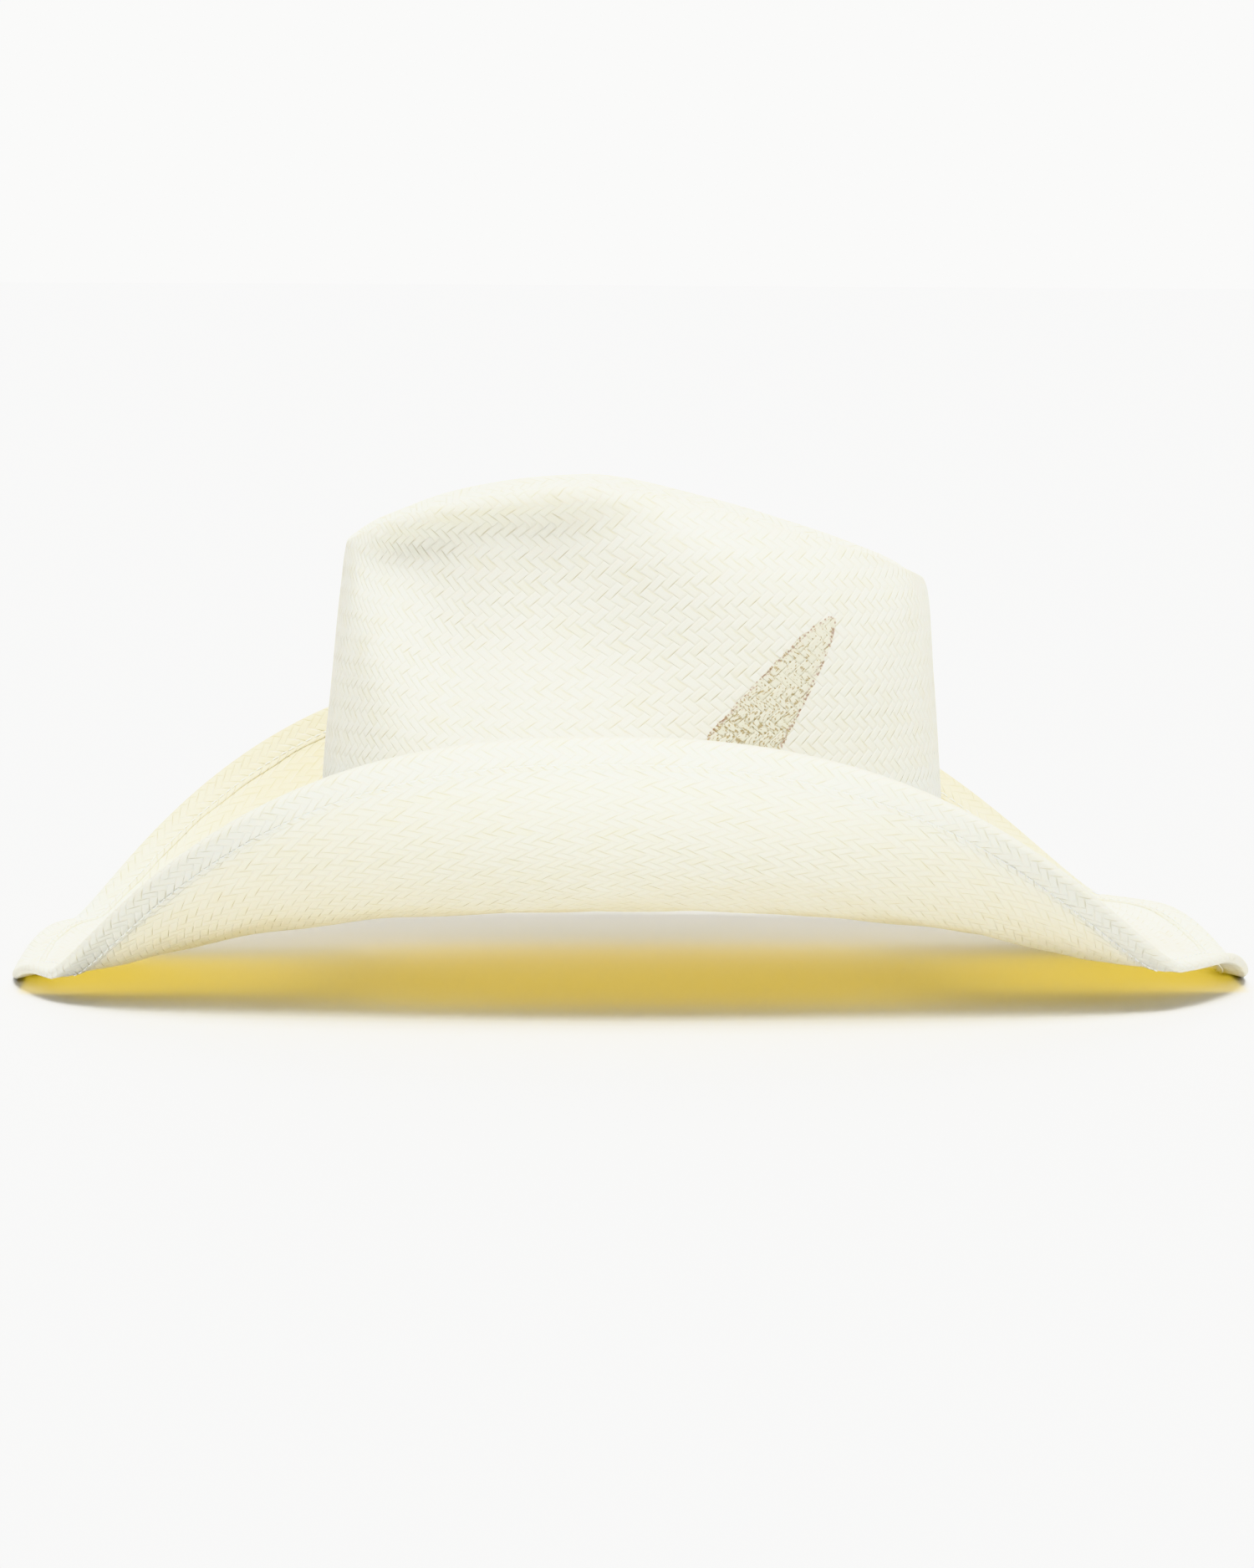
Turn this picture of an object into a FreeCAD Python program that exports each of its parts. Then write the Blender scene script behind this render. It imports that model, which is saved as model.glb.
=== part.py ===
import FreeCAD, Part
import Sketcher
import math
import os
from types import SimpleNamespace
from FreeCAD import Placement, Rotation, Vector

# A straw cowboy hat, millimetres. +Z is up, -X is the front of the hat and +X its back.
# The origin is on the surface that the hat rests on, under the middle of the brim.
# The hat stands on the front and back tips of its brim; the sides of the brim are rolled up.

DIMENSIONS = [
    # alias, value, what it is
    ("straw_thickness", 1.4, "woven straw, stiffened"),
    ("base_half_length", 101.0, "outside of the crown where it meets the brim, along X"),
    ("base_half_width", 83.5, "the same, along Y"),
    ("base_height", 36.0, "height of that line above the surface the hat rests on"),
    ("brim_half_length", 195.2, "middle of the hat to the straw's edge, along X"),
    ("brim_half_width", 143.2, "the same, along Y"),
    ("brim_squareness", 2.25, "power of the brim's superellipse; 2 is an ellipse"),
    ("tip_height", 2.37, "top of the straw's edge at the front and back tips"),
    ("side_height", 86.9, "top of the straw's edge at the sides, where it is highest"),
    ("side_peak_x", -14.5, "where along X that is"),
    ("front_roll_start", 24.5, "degrees of turn from the front tip where the edge starts to rise"),
    ("back_roll_start", 34.0, "the same from the back tip"),
    ("roll_quickness", 0.69, "less than 1 makes the edge rise sooner after that, and then more slowly"),
    ("front_lip", 7.3, "small rise of the edge beside the front tip"),
    ("front_lip_end", 21.0, "degrees of turn from the front tip where that rise ends"),
    ("back_lip", 12.0, "the same beside the back tip"),
    ("back_lip_end", 25.0, "degrees of turn from the back tip where that rise ends"),
    ("tip_slope", 12.0, "degrees that the brim falls outwards at the tips"),
    ("side_steepness", 78.0, "degrees from level of the brim at its rolled-up edge"),
    ("root_slope", 24.0, "degrees that the brim falls outwards just outside the crown"),
    ("wall_line_height", 39.0, "height over the base to which the wall is a plain cone"),
    ("wall_lean_length", 2.6, "how much that cone closes in along X over that height"),
    ("wall_lean_width", 3.6, "the same, along Y"),
    ("shoulder_half_length", 94.2, "crown at its shoulder, along X"),
    ("shoulder_half_width", 72.0, "the same, along Y"),
    ("shoulder_shift", 1.3, "middle of the shoulder behind the middle of the base"),
    ("shoulder_drop", 15.0, "shoulder below the ridge"),
    ("ridge_half_length", 90.8, "ridge round the crown's top, along X"),
    ("ridge_half_width", 54.0, "the same, along Y, at the middle"),
    ("ridge_taper", 0.25, "how much wider the ridge is behind, and narrower in front"),
    ("ridge_end_drop", 2.2, "how far the ridge rounds down at its front and back ends"),
    ("peak_height", 159.0, "highest point of the ridge"),
    ("peak_x", -12.0, "where along X it is highest"),
    ("ridge_radius", 192.0, "radius of the arc that the ridge follows in front of its peak"),
    ("ridge_back_drop", 27.6, "how far the ridge falls from its peak to its back end"),
    ("ridge_back_power", 1.33, "how that fall grows with distance; 1 is a straight line"),
    ("crease_half_length", 60.0, "centre crease, along X"),
    ("crease_depth", 17.0, "bottom of the crease below the ridge"),
    ("crease_end_depth", 5.0, "the same at the crease's two ends"),
    ("dent_depth", 24.5, "how far each side dent is pushed in at the shoulder"),
    ("dent_wall_share", 0.88, "share of that depth half way down the wall"),
    ("dent_brow_share", 0.18, "share of that depth just under the ridge"),
    ("band_width", 7.0, "width of the edge band on each face of the brim"),
    ("band_thickness", 0.45, "one layer of the edge band"),
    ("band_gap", 0.45, "room between the edge band and the straw"),
    ("wire_radius", 0.7, "brim wire"),
    ("wire_offset", 1.3, "wire's centre outside the straw's edge"),
    ("sleeve_inner_radius", 0.76, "wire joining sleeve"),
    ("sleeve_outer_radius", 1.02, "wire joining sleeve"),
    ("sleeve_turn", 4.4, "degrees of the edge that the sleeve covers, about 15 mm"),
    ("thread_radius", 0.28, "stitching thread"),
    ("stitch_inset", 5.2, "stitch line inside the straw's edge"),
    ("sweatband_height", 33.0, "width of the sweatband strip"),
    ("sweatband_thickness", 1.2, "sweatband strip"),
    ("sweatband_slack", 0.6, "room between the sweatband and the straw"),
    ("sweatband_gap", 1.5, "between the sweatband's ends at the back"),
    ("reed_radius", 1.1, "reed along the sweatband's lower edge"),
    ("hatband_height", 14.0, "hatband round the outside of the crown"),
    ("hatband_thickness", 1.3, "hatband"),
    ("hatband_slack", 0.3, "room between the hatband and the crown"),
    ("hatband_lift", 2.6, "hatband's lower edge over the crown's base line"),
]


def make_sheet(doc):
    """The spreadsheet of driving dimensions, and the same values by name."""
    sheet = doc.addObject("Spreadsheet::Sheet", "Dimensions")
    for row, (alias, value, note) in enumerate(DIMENSIONS, start=1):
        sheet.set(f"A{row}", note)
        sheet.set(f"B{row}", str(value))
        sheet.setAlias(f"B{row}", alias)
    doc.recompute()
    return SimpleNamespace(**{alias: float(sheet.get(alias)) for alias, _, _ in DIMENSIONS})


# --- the hat's surface -----------------------------------------------------------------
# Every point of the straw is found from an angle round the hat (0 at the back tip, pi at
# the front tip) and a place along the line from the brim's edge to the centre crease.

def ease(value, start, end, quickness=1.0):
    """0 before start, 1 after end, and half a cosine wave between them."""
    share = min(max((value - start) / (end - start), 0.0), 1.0)
    return 0.5 - 0.5 * math.cos(math.pi * share ** quickness)


def oval(angle, half_x, half_y, power=2.0):
    """A point of a superellipse: power 2 is an ellipse, and more is squarer."""
    c = math.cos(angle)
    s = math.sin(angle)
    reach = (abs(c) ** power + abs(s) ** power) ** (-1 / power)
    return half_x * c * reach, half_y * s * reach


def angle_from_back(angle):
    """Degrees from the back tip, 0 to 180, the same on both sides."""
    return math.degrees(math.acos(max(-1.0, min(1.0, math.cos(angle)))))


def edge_point(d, angle):
    """The brim's edge: low at both tips and rolled up at both sides, highest at side_peak_x."""
    x, y = oval(angle, d.brim_half_length, d.brim_half_width, d.brim_squareness)
    from_peak = x - d.side_peak_x
    reach = abs(math.copysign(d.brim_half_length, from_peak) - d.side_peak_x)
    turn = math.degrees(math.acos(min(abs(from_peak) / reach, 1.0) ** (d.brim_squareness / 2)))
    full_rise = d.side_height - d.tip_height
    lip, lip_end, roll_start = ((d.front_lip, d.front_lip_end, d.front_roll_start) if from_peak < 0
                                else (d.back_lip, d.back_lip_end, d.back_roll_start))
    rise = lip * ease(turn, 0, lip_end)
    rise += (full_rise - lip) * ease(turn, roll_start, 90, d.roll_quickness)
    return Vector(x, y, d.tip_height + rise)


def base_point(d, angle):
    """The line where the crown meets the brim, a level ellipse."""
    x, y = oval(angle, d.base_half_length, d.base_half_width)
    return Vector(x, y, d.base_height)


def brim_point(d, angle, u):
    """The brim's top face: u is 0 at the edge and 1 at the crown."""
    edge = edge_point(d, angle)
    base = base_point(d, angle)
    inward = Vector(base.x - edge.x, base.y - edge.y, 0)
    run = inward.Length
    inward.normalize()
    roll = (edge.z - d.tip_height) / (d.side_height - d.tip_height)
    steep = math.radians(-d.tip_slope + (d.side_steepness + d.tip_slope) * roll)
    root = math.radians(d.root_slope)
    edge_arm = 0.33 * run + 26 * roll
    root_arm = 0.36 * run
    near_edge = edge + inward * (edge_arm * math.cos(steep)) - Vector(0, 0, edge_arm * math.sin(steep))
    near_base = base - inward * (root_arm * math.cos(root)) - Vector(0, 0, root_arm * math.sin(root))
    return (edge * (1 - u) ** 3 + near_edge * (3 * u * (1 - u) ** 2)
            + near_base * (3 * u * u * (1 - u)) + base * u ** 3)


def ridge_height(d, x):
    """The ridge follows an arc in front of its peak and falls more evenly behind it."""
    behind = x - d.peak_x
    if behind > 0:
        share = behind / (d.ridge_half_length - d.peak_x)
        return d.peak_height - d.ridge_back_drop * share ** d.ridge_back_power
    return d.peak_height - d.ridge_radius + math.sqrt(d.ridge_radius ** 2 - behind ** 2)


def ridge_point(d, angle):
    """The ridge round the crown's top, egg-shaped and narrower in front."""
    x, y = oval(angle, d.ridge_half_length, d.ridge_half_width, 2.2)
    drop = d.ridge_end_drop * (x / d.ridge_half_length) ** 14
    return Vector(x, y * (1 + d.ridge_taper * math.cos(angle)), ridge_height(d, x) - drop)


def crease_point(d, angle):
    """The bottom of the centre crease."""
    c = math.cos(angle)
    x = d.crease_half_length * c
    depth = d.crease_depth + (d.crease_end_depth - d.crease_depth) * c ** 4
    return Vector(x, 0, ridge_height(d, x) - depth)


def dent_share(angle, start, end):
    """How much of the side dent acts at this angle, 0 to 1: it lies in front of the middle.

    It grows between the two angles start and end, measured from the front."""
    back = angle_from_back(angle)
    return ease(back, 66, 112) * ease(180 - back, start, end)


def crown_stations(d, angle):
    """Points up the crown's wall, over the ridge and down to the crease."""
    side = math.copysign(1.0, math.sin(angle))
    base = base_point(d, angle)
    ridge = ridge_point(d, angle)
    crease = crease_point(d, angle)
    inward = Vector(0, -side * d.dent_depth, 0)
    upper_dent = inward * dent_share(angle, 6, 48)
    lower_dent = inward * d.dent_wall_share * dent_share(angle, 24, 58)
    cone_x, cone_y = oval(angle, d.base_half_length - d.wall_lean_length,
                          d.base_half_width - d.wall_lean_width)
    cone = Vector(cone_x, cone_y, d.base_height + d.wall_line_height)
    shoulder_x, shoulder_y = oval(angle, d.shoulder_half_length, d.shoulder_half_width, 2.1)
    shoulder = Vector(shoulder_x + d.shoulder_shift, shoulder_y, ridge.z - d.shoulder_drop)
    mid_wall = cone + (shoulder - cone) * 0.5
    brow = Vector(0.6 * shoulder.x + 0.4 * ridge.x, 0.3 * shoulder.y + 0.7 * ridge.y, ridge.z - 3.5)
    inner_ridge = Vector(ridge.x * 0.94, ridge.y * 0.86, ridge.z - 2.6)
    slope = Vector(0.5 * (0.9 * ridge.x + crease.x), 0.42 * ridge.y,
                   crease.z + 0.28 * (ridge.z - crease.z))
    return [base, base + (cone - base) * 0.5, cone, mid_wall + lower_dent, shoulder + upper_dent,
            brow + upper_dent * d.dent_brow_share, ridge, inner_ridge, slope, crease]


def crown_point(d, angle, w):
    """The crown's outer face: w is 0 at the base, 1 at the centre crease and 2 at the far base."""
    if w > 1:
        mirrored = crown_point(d, angle, 2 - w)
        return Vector(mirrored.x, -mirrored.y, mirrored.z)
    stations = crown_stations(d, angle)
    spans = len(stations) - 1
    k = min(int(w * spans), spans - 1)
    u = w * spans - k
    start, end = stations[k], stations[k + 1]
    before = stations[k - 1] if k > 0 else start * 2 - end
    after = stations[k + 2] if k + 2 <= spans else Vector(start.x, -start.y, start.z)
    return (start * 2 + (end - before) * u + (before * 2 - start * 5 + end * 4 - after) * u ** 2
            + (start * 3 - before - end * 3 + after) * u ** 3) * 0.5


def face_normal(point_at, angle, v, last=1.0, step=0.002):
    """The unit normal, upwards or outwards, of a surface that ends at the place called last."""
    low = max(v - step, 0.0)
    high = min(v + step, last)
    along = point_at(angle, high) - point_at(angle, low)
    around = point_at(angle + step, v) - point_at(angle - step, v)
    normal = around.cross(along)
    return normal.normalize()


# --- solids from grids of points -------------------------------------------------------

def clamped_knots(count, degree):
    """Evenly spaced knots for a curve that starts and ends on its first and last pole."""
    knots = [float(k) for k in range(count - degree + 1)]
    mults = [degree + 1] + [1] * (len(knots) - 2) + [degree + 1]
    return knots, mults


def face_over(grid):
    """A smooth face with the grid's points as its poles, so equal borders give equal edges.

    A grid of only two rows gives a face that is straight from one row to the other."""
    u_degree = min(3, len(grid) - 1)
    u_knots, u_mults = clamped_knots(len(grid), u_degree)
    v_knots, v_mults = clamped_knots(len(grid[0]), 3)
    surface = Part.BSplineSurface()
    surface.buildFromPolesMultsKnots(grid, u_mults, v_mults, u_knots, v_knots,
                                     False, False, u_degree, 3)
    return surface.toShape()


def sewn_solid(faces):
    shell = Part.makeShell(faces)
    shell.sewShape(1e-4)
    solid = Part.makeSolid(shell)
    if solid.Volume < 0:
        solid.reverse()
    return solid


def column(grid, index):
    return [row[index] for row in grid]


def sheet_solid(top, under):
    """A thick sheet between two grids of points, closed with a strip along each side."""
    strips = [face_over([top[end], under[end]]) for end in (0, -1)]
    strips += [face_over([column(top, end), column(under, end)]) for end in (0, -1)]
    return sewn_solid([face_over(top), face_over(under)] + strips)


def rod_solid(centres, radius, sides=12):
    """A rod with a many-sided section along a path that stays close to level."""
    last = len(centres) - 1
    turns = spaced(sides + 1, 0.0, 2 * math.pi)
    rings = []
    for i, centre in enumerate(centres):
        ahead = centres[min(i + 1, last)] - centres[max(i - 1, 0)]
        across = ahead.cross(Vector(0, 0, 1)).normalize()
        up = across.cross(ahead).normalize()
        ring = [centre + across * (radius * math.cos(t)) + up * (radius * math.sin(t))
                for t in turns[:-1]]
        rings.append(ring + ring[:1])
    strips = [face_over([column(rings, k), column(rings, k + 1)]) for k in range(sides)]
    ends = [Part.Face(Part.makePolygon(rings[end])) for end in (0, -1)]
    return sewn_solid(strips + ends)


def spaced(count, start=0.0, end=1.0):
    return [start + (end - start) * i / (count - 1) for i in range(count)]


# --- the straw -------------------------------------------------------------------------

def straw_body(d):
    """Crown and brim woven in one piece; each half is four patches and an edge strip."""
    angles = spaced(49, 0.0, math.pi)
    brim_places = spaced(17)
    crown_places = spaced(46)
    thick = d.straw_thickness

    def brim(angle, u):
        return brim_point(d, angle, u)

    def crown(angle, w):
        return crown_point(d, angle, w)

    def under(point_at, angle, v, last=1.0):
        return point_at(angle, v) - face_normal(point_at, angle, v, last) * thick

    def fold_point(angle):
        """Where the offset brim and the offset wall meet, inside the fold of the base."""
        brim_side = face_normal(brim, angle, 1.0)
        wall_side = face_normal(crown, angle, 0.0)
        both = brim_side + wall_side
        return base_point(d, angle) - both * (thick / (1 + brim_side.dot(wall_side)))

    def on_plane(point, angle):
        """The two ends of a half lie exactly in the plane y = 0."""
        at_end = abs(math.sin(angle)) < 1e-9
        return Vector(point.x, 0.0, point.z) if at_end else point

    def under_brim(angle, u):
        point = fold_point(angle) if u == 1.0 else under(brim, angle, u)
        return on_plane(point, angle)

    def under_crown(angle, w):
        if w == 0.0:
            return on_plane(fold_point(angle), angle)
        if w < 1.0:
            point = under(crown, angle, w, 2.0)
            point.y = max(point.y, 0.05)
            return on_plane(point, angle)
        # the two ends of the crease are poles, so the normal is taken a little way along it
        along_crease = min(max(angle, 0.06), math.pi - 0.06)
        point = crown(angle, 1.0) - face_normal(crown, along_crease, 1.0, 2.0) * thick
        return Vector(point.x, 0.0, point.z)

    def grid(point_at, places):
        return [[point_at(a, v) for v in places] for a in angles]

    brim_top = grid(lambda a, u: on_plane(brim(a, u), a), brim_places)
    brim_under = grid(under_brim, brim_places)
    crown_out = grid(lambda a, w: on_plane(crown(a, w), a), crown_places)
    crown_in = grid(under_crown, crown_places)
    edge = [column(brim_top, 0), column(brim_under, 0)]
    half = [face_over(g) for g in (brim_top, brim_under, crown_out, crown_in, edge)]
    other = [face.mirror(Vector(0, 0, 0), Vector(0, 1, 0)) for face in half]
    return sewn_solid(half + other)


# --- the brim's edge -------------------------------------------------------------------

def edge_frame(d, angle, inset=0.0):
    """A point in the middle of the straw's thickness, with the inward and upward directions."""
    def brim(a, u):
        return brim_point(d, a, u)
    step = 0.004
    reach = (brim(angle, step) - brim(angle, 0.0)).Length / step
    u = inset / reach
    for _ in range(4):
        walked = sum((brim(angle, u * (i + 1) / 6) - brim(angle, u * i / 6)).Length for i in range(6))
        u += (inset - walked) / reach
    up = face_normal(brim, angle, u)
    inward = brim(angle, u + step) - brim(angle, u)
    inward.normalize()
    return brim(angle, u) - up * (d.straw_thickness / 2), inward, up


def loop_angles(count, gap_degrees, middle=0.0):
    """Angles right round the hat, with a gap at the middle angle."""
    half_gap = math.radians(gap_degrees) / 2
    return spaced(count, middle + half_gap, middle + 2 * math.pi - half_gap)


def wire_path(d, angles):
    path = []
    for angle in angles:
        middle, inward, _ = edge_frame(d, angle)
        path.append(middle - inward * d.wire_offset)
    return path


def edge_band(d):
    """A strip of straw cloth folded over the wired edge, its ends meeting at the back."""
    half = d.straw_thickness / 2 + d.band_gap
    insets = spaced(4, d.band_width, 0.0)
    nose_turns = [math.radians(t) for t in (60, 30, 0, -30, -60)]

    def section(angle, offset):
        points = []
        for inset in insets:
            middle, _, up = edge_frame(d, angle, inset)
            points.append(middle + up * offset)
        middle, inward, up = edge_frame(d, angle)
        centre = middle - inward * d.wire_offset
        for turn in nose_turns:
            points.append(centre - inward * (offset * math.cos(turn)) + up * (offset * math.sin(turn)))
        for inset in reversed(insets):
            middle, _, up = edge_frame(d, angle, inset)
            points.append(middle - up * offset)
        return points

    angles = loop_angles(97, 0.3)
    outer = [section(a, half + d.band_thickness) for a in angles]
    inner = [section(a, half) for a in angles]
    return sheet_solid(outer, inner)


def brim_wire(d):
    """One spring wire right round, its two ends butted inside the sleeve on the left side."""
    return rod_solid(wire_path(d, loop_angles(97, 0.4, math.radians(-90))), d.wire_radius)


def wire_sleeve(d):
    """The crimped tube that joins the wire's ends."""
    half_turn = math.radians(d.sleeve_turn) / 2
    middle = math.radians(-90)
    path = wire_path(d, spaced(5, middle - half_turn, middle + half_turn))
    return rod_solid(path, d.sleeve_outer_radius).cut(rod_solid(path, d.sleeve_inner_radius))


def edge_stitching(d):
    """The lock stitch through the edge band: one thread on each face of the brim."""
    lift = d.straw_thickness / 2 + d.band_gap + d.band_thickness + d.thread_radius + 0.05
    threads = []
    for side in (1, -1):
        path = []
        for angle in loop_angles(97, 0.5):
            middle, _, up = edge_frame(d, angle, d.stitch_inset)
            path.append(middle + up * (side * lift))
        threads.append(rod_solid(path, d.thread_radius))
    return Part.makeCompound(threads)


# --- bands on the lower, conical part of the crown -------------------------------------

def ellipse(doc, name, half_length, half_width, height):
    """An ellipse round the Z axis, its sizes bound to the sheet."""
    ring = doc.addObject("Part::Ellipse", name)
    ring.setExpression("MajorRadius", half_length)
    ring.setExpression("MinorRadius", half_width)
    ring.setExpression("Placement.Base.z", height)
    return ring


def cone_at(axis, height, offset):
    """Expression for the wall's half axis at a height over the base, moved out by offset."""
    return (f"Dimensions.base_half_{axis} - Dimensions.wall_lean_{axis} * ({height})"
            f" / Dimensions.wall_line_height + ({offset})")


def conical_strip(doc, name, bottom, top, outside, inside):
    """An oval strip parallel to the crown's wall: a loft with a smaller loft cut out."""
    lofts = []
    for side, offset, over in (("Outer", outside, 0), ("Inner", inside, 2)):
        rings = []
        for level, height, extra in (("Low", bottom, -over), ("High", top, over)):
            at = f"({height}) + ({extra})"
            rings.append(ellipse(doc, f"{name}{side}{level}", cone_at("length", at, offset),
                                 cone_at("width", at, offset), f"Dimensions.base_height + {at}"))
        loft = doc.addObject("Part::Loft", f"{name}{side}")
        loft.Sections = rings
        loft.Solid = True
        lofts.append(loft)
    strip = doc.addObject("Part::Cut", f"{name}Strip")
    strip.Base, strip.Tool = lofts
    return strip


def cut_back_gap(doc, name, strip, gap):
    """Cuts the strip through at the back, where its ends meet."""
    slot = doc.addObject("Part::Box", f"{name}Gap")
    slot.Length = 60
    slot.Height = 120
    slot.setExpression("Width", gap)
    slot.setExpression("Placement.Base.y", f"-({gap}) / 2")
    slot.Placement.Base.x = 70
    cut = doc.addObject("Part::Cut", name)
    cut.Base = strip
    cut.Tool = slot
    return cut


def oval_cord(doc, name, radius, outside, height, gap_degrees):
    """A cord bent to an oval, open by a small gap at the back; its section has many sides."""
    spine = ellipse(doc, f"{name}Spine", cone_at("length", height, outside),
                    cone_at("width", height, outside), f"Dimensions.base_height + {height}")
    spine.Angle1 = gap_degrees / 2
    spine.Angle2 = 360 - gap_degrees / 2
    doc.recompute()
    start = spine.Shape.Edges[0]
    section = doc.addObject("Part::RegularPolygon", f"{name}Section")
    section.Polygon = 12
    section.setExpression("Circumradius", radius)
    along = start.tangentAt(start.FirstParameter)
    section.Placement = Placement(start.valueAt(start.FirstParameter), Rotation(Vector(0, 0, 1), along))
    cord = doc.addObject("Part::Sweep", name)
    cord.Sections = [section]
    cord.Spine = (spine, ["Edge1"])
    cord.Solid = True
    cord.Frenet = True
    return cord


def padded_sketch(doc, name, depth, plane_role="XY_Plane"):
    """An empty sketch in its own body, and a function that pads what was drawn in it."""
    body = doc.addObject("PartDesign::Body", name)
    sketch = body.newObject("Sketcher::SketchObject", f"{name}Sketch")
    plane = next(f for f in body.Origin.OriginFeatures if f.Role == plane_role)
    sketch.AttachmentSupport = (plane, [""])
    sketch.MapMode = "FlatFace"
    pad = body.newObject("PartDesign::Pad", f"{name}Pad")
    pad.Profile = sketch
    pad.Length = depth
    pad.Midplane = True
    return body, sketch


def draw_rectangle(sketch, width, height, centre_x=0.0):
    """A constrained rectangle about (centre_x, 0)."""
    first = sketch.GeometryCount
    left = centre_x - width / 2
    right = centre_x + width / 2
    corners = [Vector(left, -height / 2, 0), Vector(right, -height / 2, 0),
               Vector(right, height / 2, 0), Vector(left, height / 2, 0)]
    for i in range(4):
        sketch.addGeometry(Part.LineSegment(corners[i], corners[(i + 1) % 4]), False)
    for i in range(4):
        following = first + (i + 1) % 4
        sketch.addConstraint(Sketcher.Constraint("Coincident", first + i, 2, following, 1))
    for i in (0, 2):
        sketch.addConstraint(Sketcher.Constraint("Horizontal", first + i))
        sketch.addConstraint(Sketcher.Constraint("Vertical", first + i + 1))
    sketch.addConstraint(Sketcher.Constraint("DistanceX", first, 1, first, 2, width))
    sketch.addConstraint(Sketcher.Constraint("DistanceY", first + 1, 1, first + 1, 2, height))
    sketch.addConstraint(Sketcher.Constraint("DistanceX", first, 1, left))
    sketch.addConstraint(Sketcher.Constraint("DistanceY", first, 1, -height / 2))


def cone_placement(d, angle, height, offset):
    """On the conical wall moved out by offset: local X runs round it, Y up it, Z out of it."""
    lean = height / d.wall_line_height
    half_x = d.base_half_length - d.wall_lean_length * lean + offset
    half_y = d.base_half_width - d.wall_lean_width * lean + offset
    x, y = oval(angle, half_x, half_y)
    out = Vector(x / half_x ** 2, y / half_y ** 2, 0)
    out.normalize()
    drop = d.wall_lean_length if abs(out.x) > abs(out.y) else d.wall_lean_width
    out.z = drop / d.wall_line_height
    out.normalize()
    around = Vector(0, 0, 1).cross(out)
    around.normalize()
    up = out.cross(around)
    spot = Vector(x, y, d.base_height + height)
    return Placement(spot, Rotation(around, up, out, "ZXY"))


SWEATBAND_OUTSIDE = "-Dimensions.straw_thickness - Dimensions.sweatband_slack"
SWEATBAND_INSIDE = f"{SWEATBAND_OUTSIDE} - Dimensions.sweatband_thickness"
SWEATBAND_LIFT = 1.0


def sweatband(doc):
    """The strip that rests on the head, its ends meeting at the back."""
    top = f"{SWEATBAND_LIFT} + Dimensions.sweatband_height"
    strip = conical_strip(doc, "Sweatband", SWEATBAND_LIFT, top, SWEATBAND_OUTSIDE, SWEATBAND_INSIDE)
    return cut_back_gap(doc, "sweatband", strip, "Dimensions.sweatband_gap")


def sweatband_reed(doc):
    """The plastic reed that stiffens the sweatband's lower edge, just under the strip."""
    middle = f"{SWEATBAND_OUTSIDE} - Dimensions.sweatband_thickness / 2"
    return oval_cord(doc, "sweatband_reed", "Dimensions.reed_radius", middle, "-0.5", 2.0)


def sweatband_stitching(doc):
    """The thread that sews the sweatband's lower edge to the straw."""
    inside = f"{SWEATBAND_INSIDE} - Dimensions.thread_radius - 0.05"
    return oval_cord(doc, "sweatband_stitching", "Dimensions.thread_radius", inside, "4", 2.0)


def sweatband_seam_tape(doc, d):
    """The tape over the sweatband's back seam."""
    body, sketch = padded_sketch(doc, "sweatband_seam_tape", 0.5)
    draw_rectangle(sketch, 12, 24)
    inside = -(d.straw_thickness + d.sweatband_slack + d.sweatband_thickness)
    body.Placement = cone_placement(d, 0.0, 19, inside - 0.7)
    return body


def size_tab(doc, d):
    """A small blank fabric tab on the sweatband, behind the wearer's left ear."""
    body, sketch = padded_sketch(doc, "size_tab", 0.4)
    draw_rectangle(sketch, 16, 11)
    inside = -(d.straw_thickness + d.sweatband_slack + d.sweatband_thickness)
    body.Placement = cone_placement(d, math.radians(-55), 24, inside - 0.8)
    return body


def sweatband_bow(doc, d):
    """A flat ribbon bow at the back of the sweatband: two oval loops and a knot."""
    ribbon_width = 6
    loop_centre = 5.2
    loops = []
    for side in (-1, 1):
        rings = []
        for name, half_length, half_depth in (("Outer", 5.0, 1.5), ("Inner", 4.5, 1.0)):
            ring = doc.addObject("Part::Ellipse", f"Bow{name}{side + 1}")
            ring.MajorRadius = half_length
            ring.MinorRadius = half_depth
            ring.Placement.Base = Vector(side * loop_centre, 0, -ribbon_width / 2)
            block = doc.addObject("Part::Extrusion", f"Bow{name}Block{side + 1}")
            block.Base = ring
            block.Dir = Vector(0, 0, ribbon_width)
            block.Solid = True
            rings.append(block)
        loop = doc.addObject("Part::Cut", f"BowLoop{side + 1}")
        loop.Base, loop.Tool = rings
        loops.append(loop)
    knot = doc.addObject("Part::Box", "BowKnot")
    knot.Length, knot.Width, knot.Height = 3.0, 3.2, ribbon_width + 0.8
    knot.Placement.Base = Vector(-1.5, -1.6, -ribbon_width / 2 - 0.4)
    bow = doc.addObject("Part::MultiFuse", "sweatband_bow")
    bow.Shapes = loops + [knot]
    inside = -(d.straw_thickness + d.sweatband_slack + d.sweatband_thickness)
    wall = cone_placement(d, 0.0, 12, inside - 3.1)
    bow.Placement = wall.multiply(Placement(Vector(0, 0, 0), Rotation(Vector(1, 0, 0), -90)))
    return bow


def hatband(doc):
    """The narrow band round the outside of the crown, its ends meeting at the back."""
    top = "Dimensions.hatband_lift + Dimensions.hatband_height"
    outside = "Dimensions.hatband_slack + Dimensions.hatband_thickness"
    strip = conical_strip(doc, "Hatband", "Dimensions.hatband_lift", top, outside,
                          "Dimensions.hatband_slack")
    return cut_back_gap(doc, "hatband", strip, "1.0")


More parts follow.
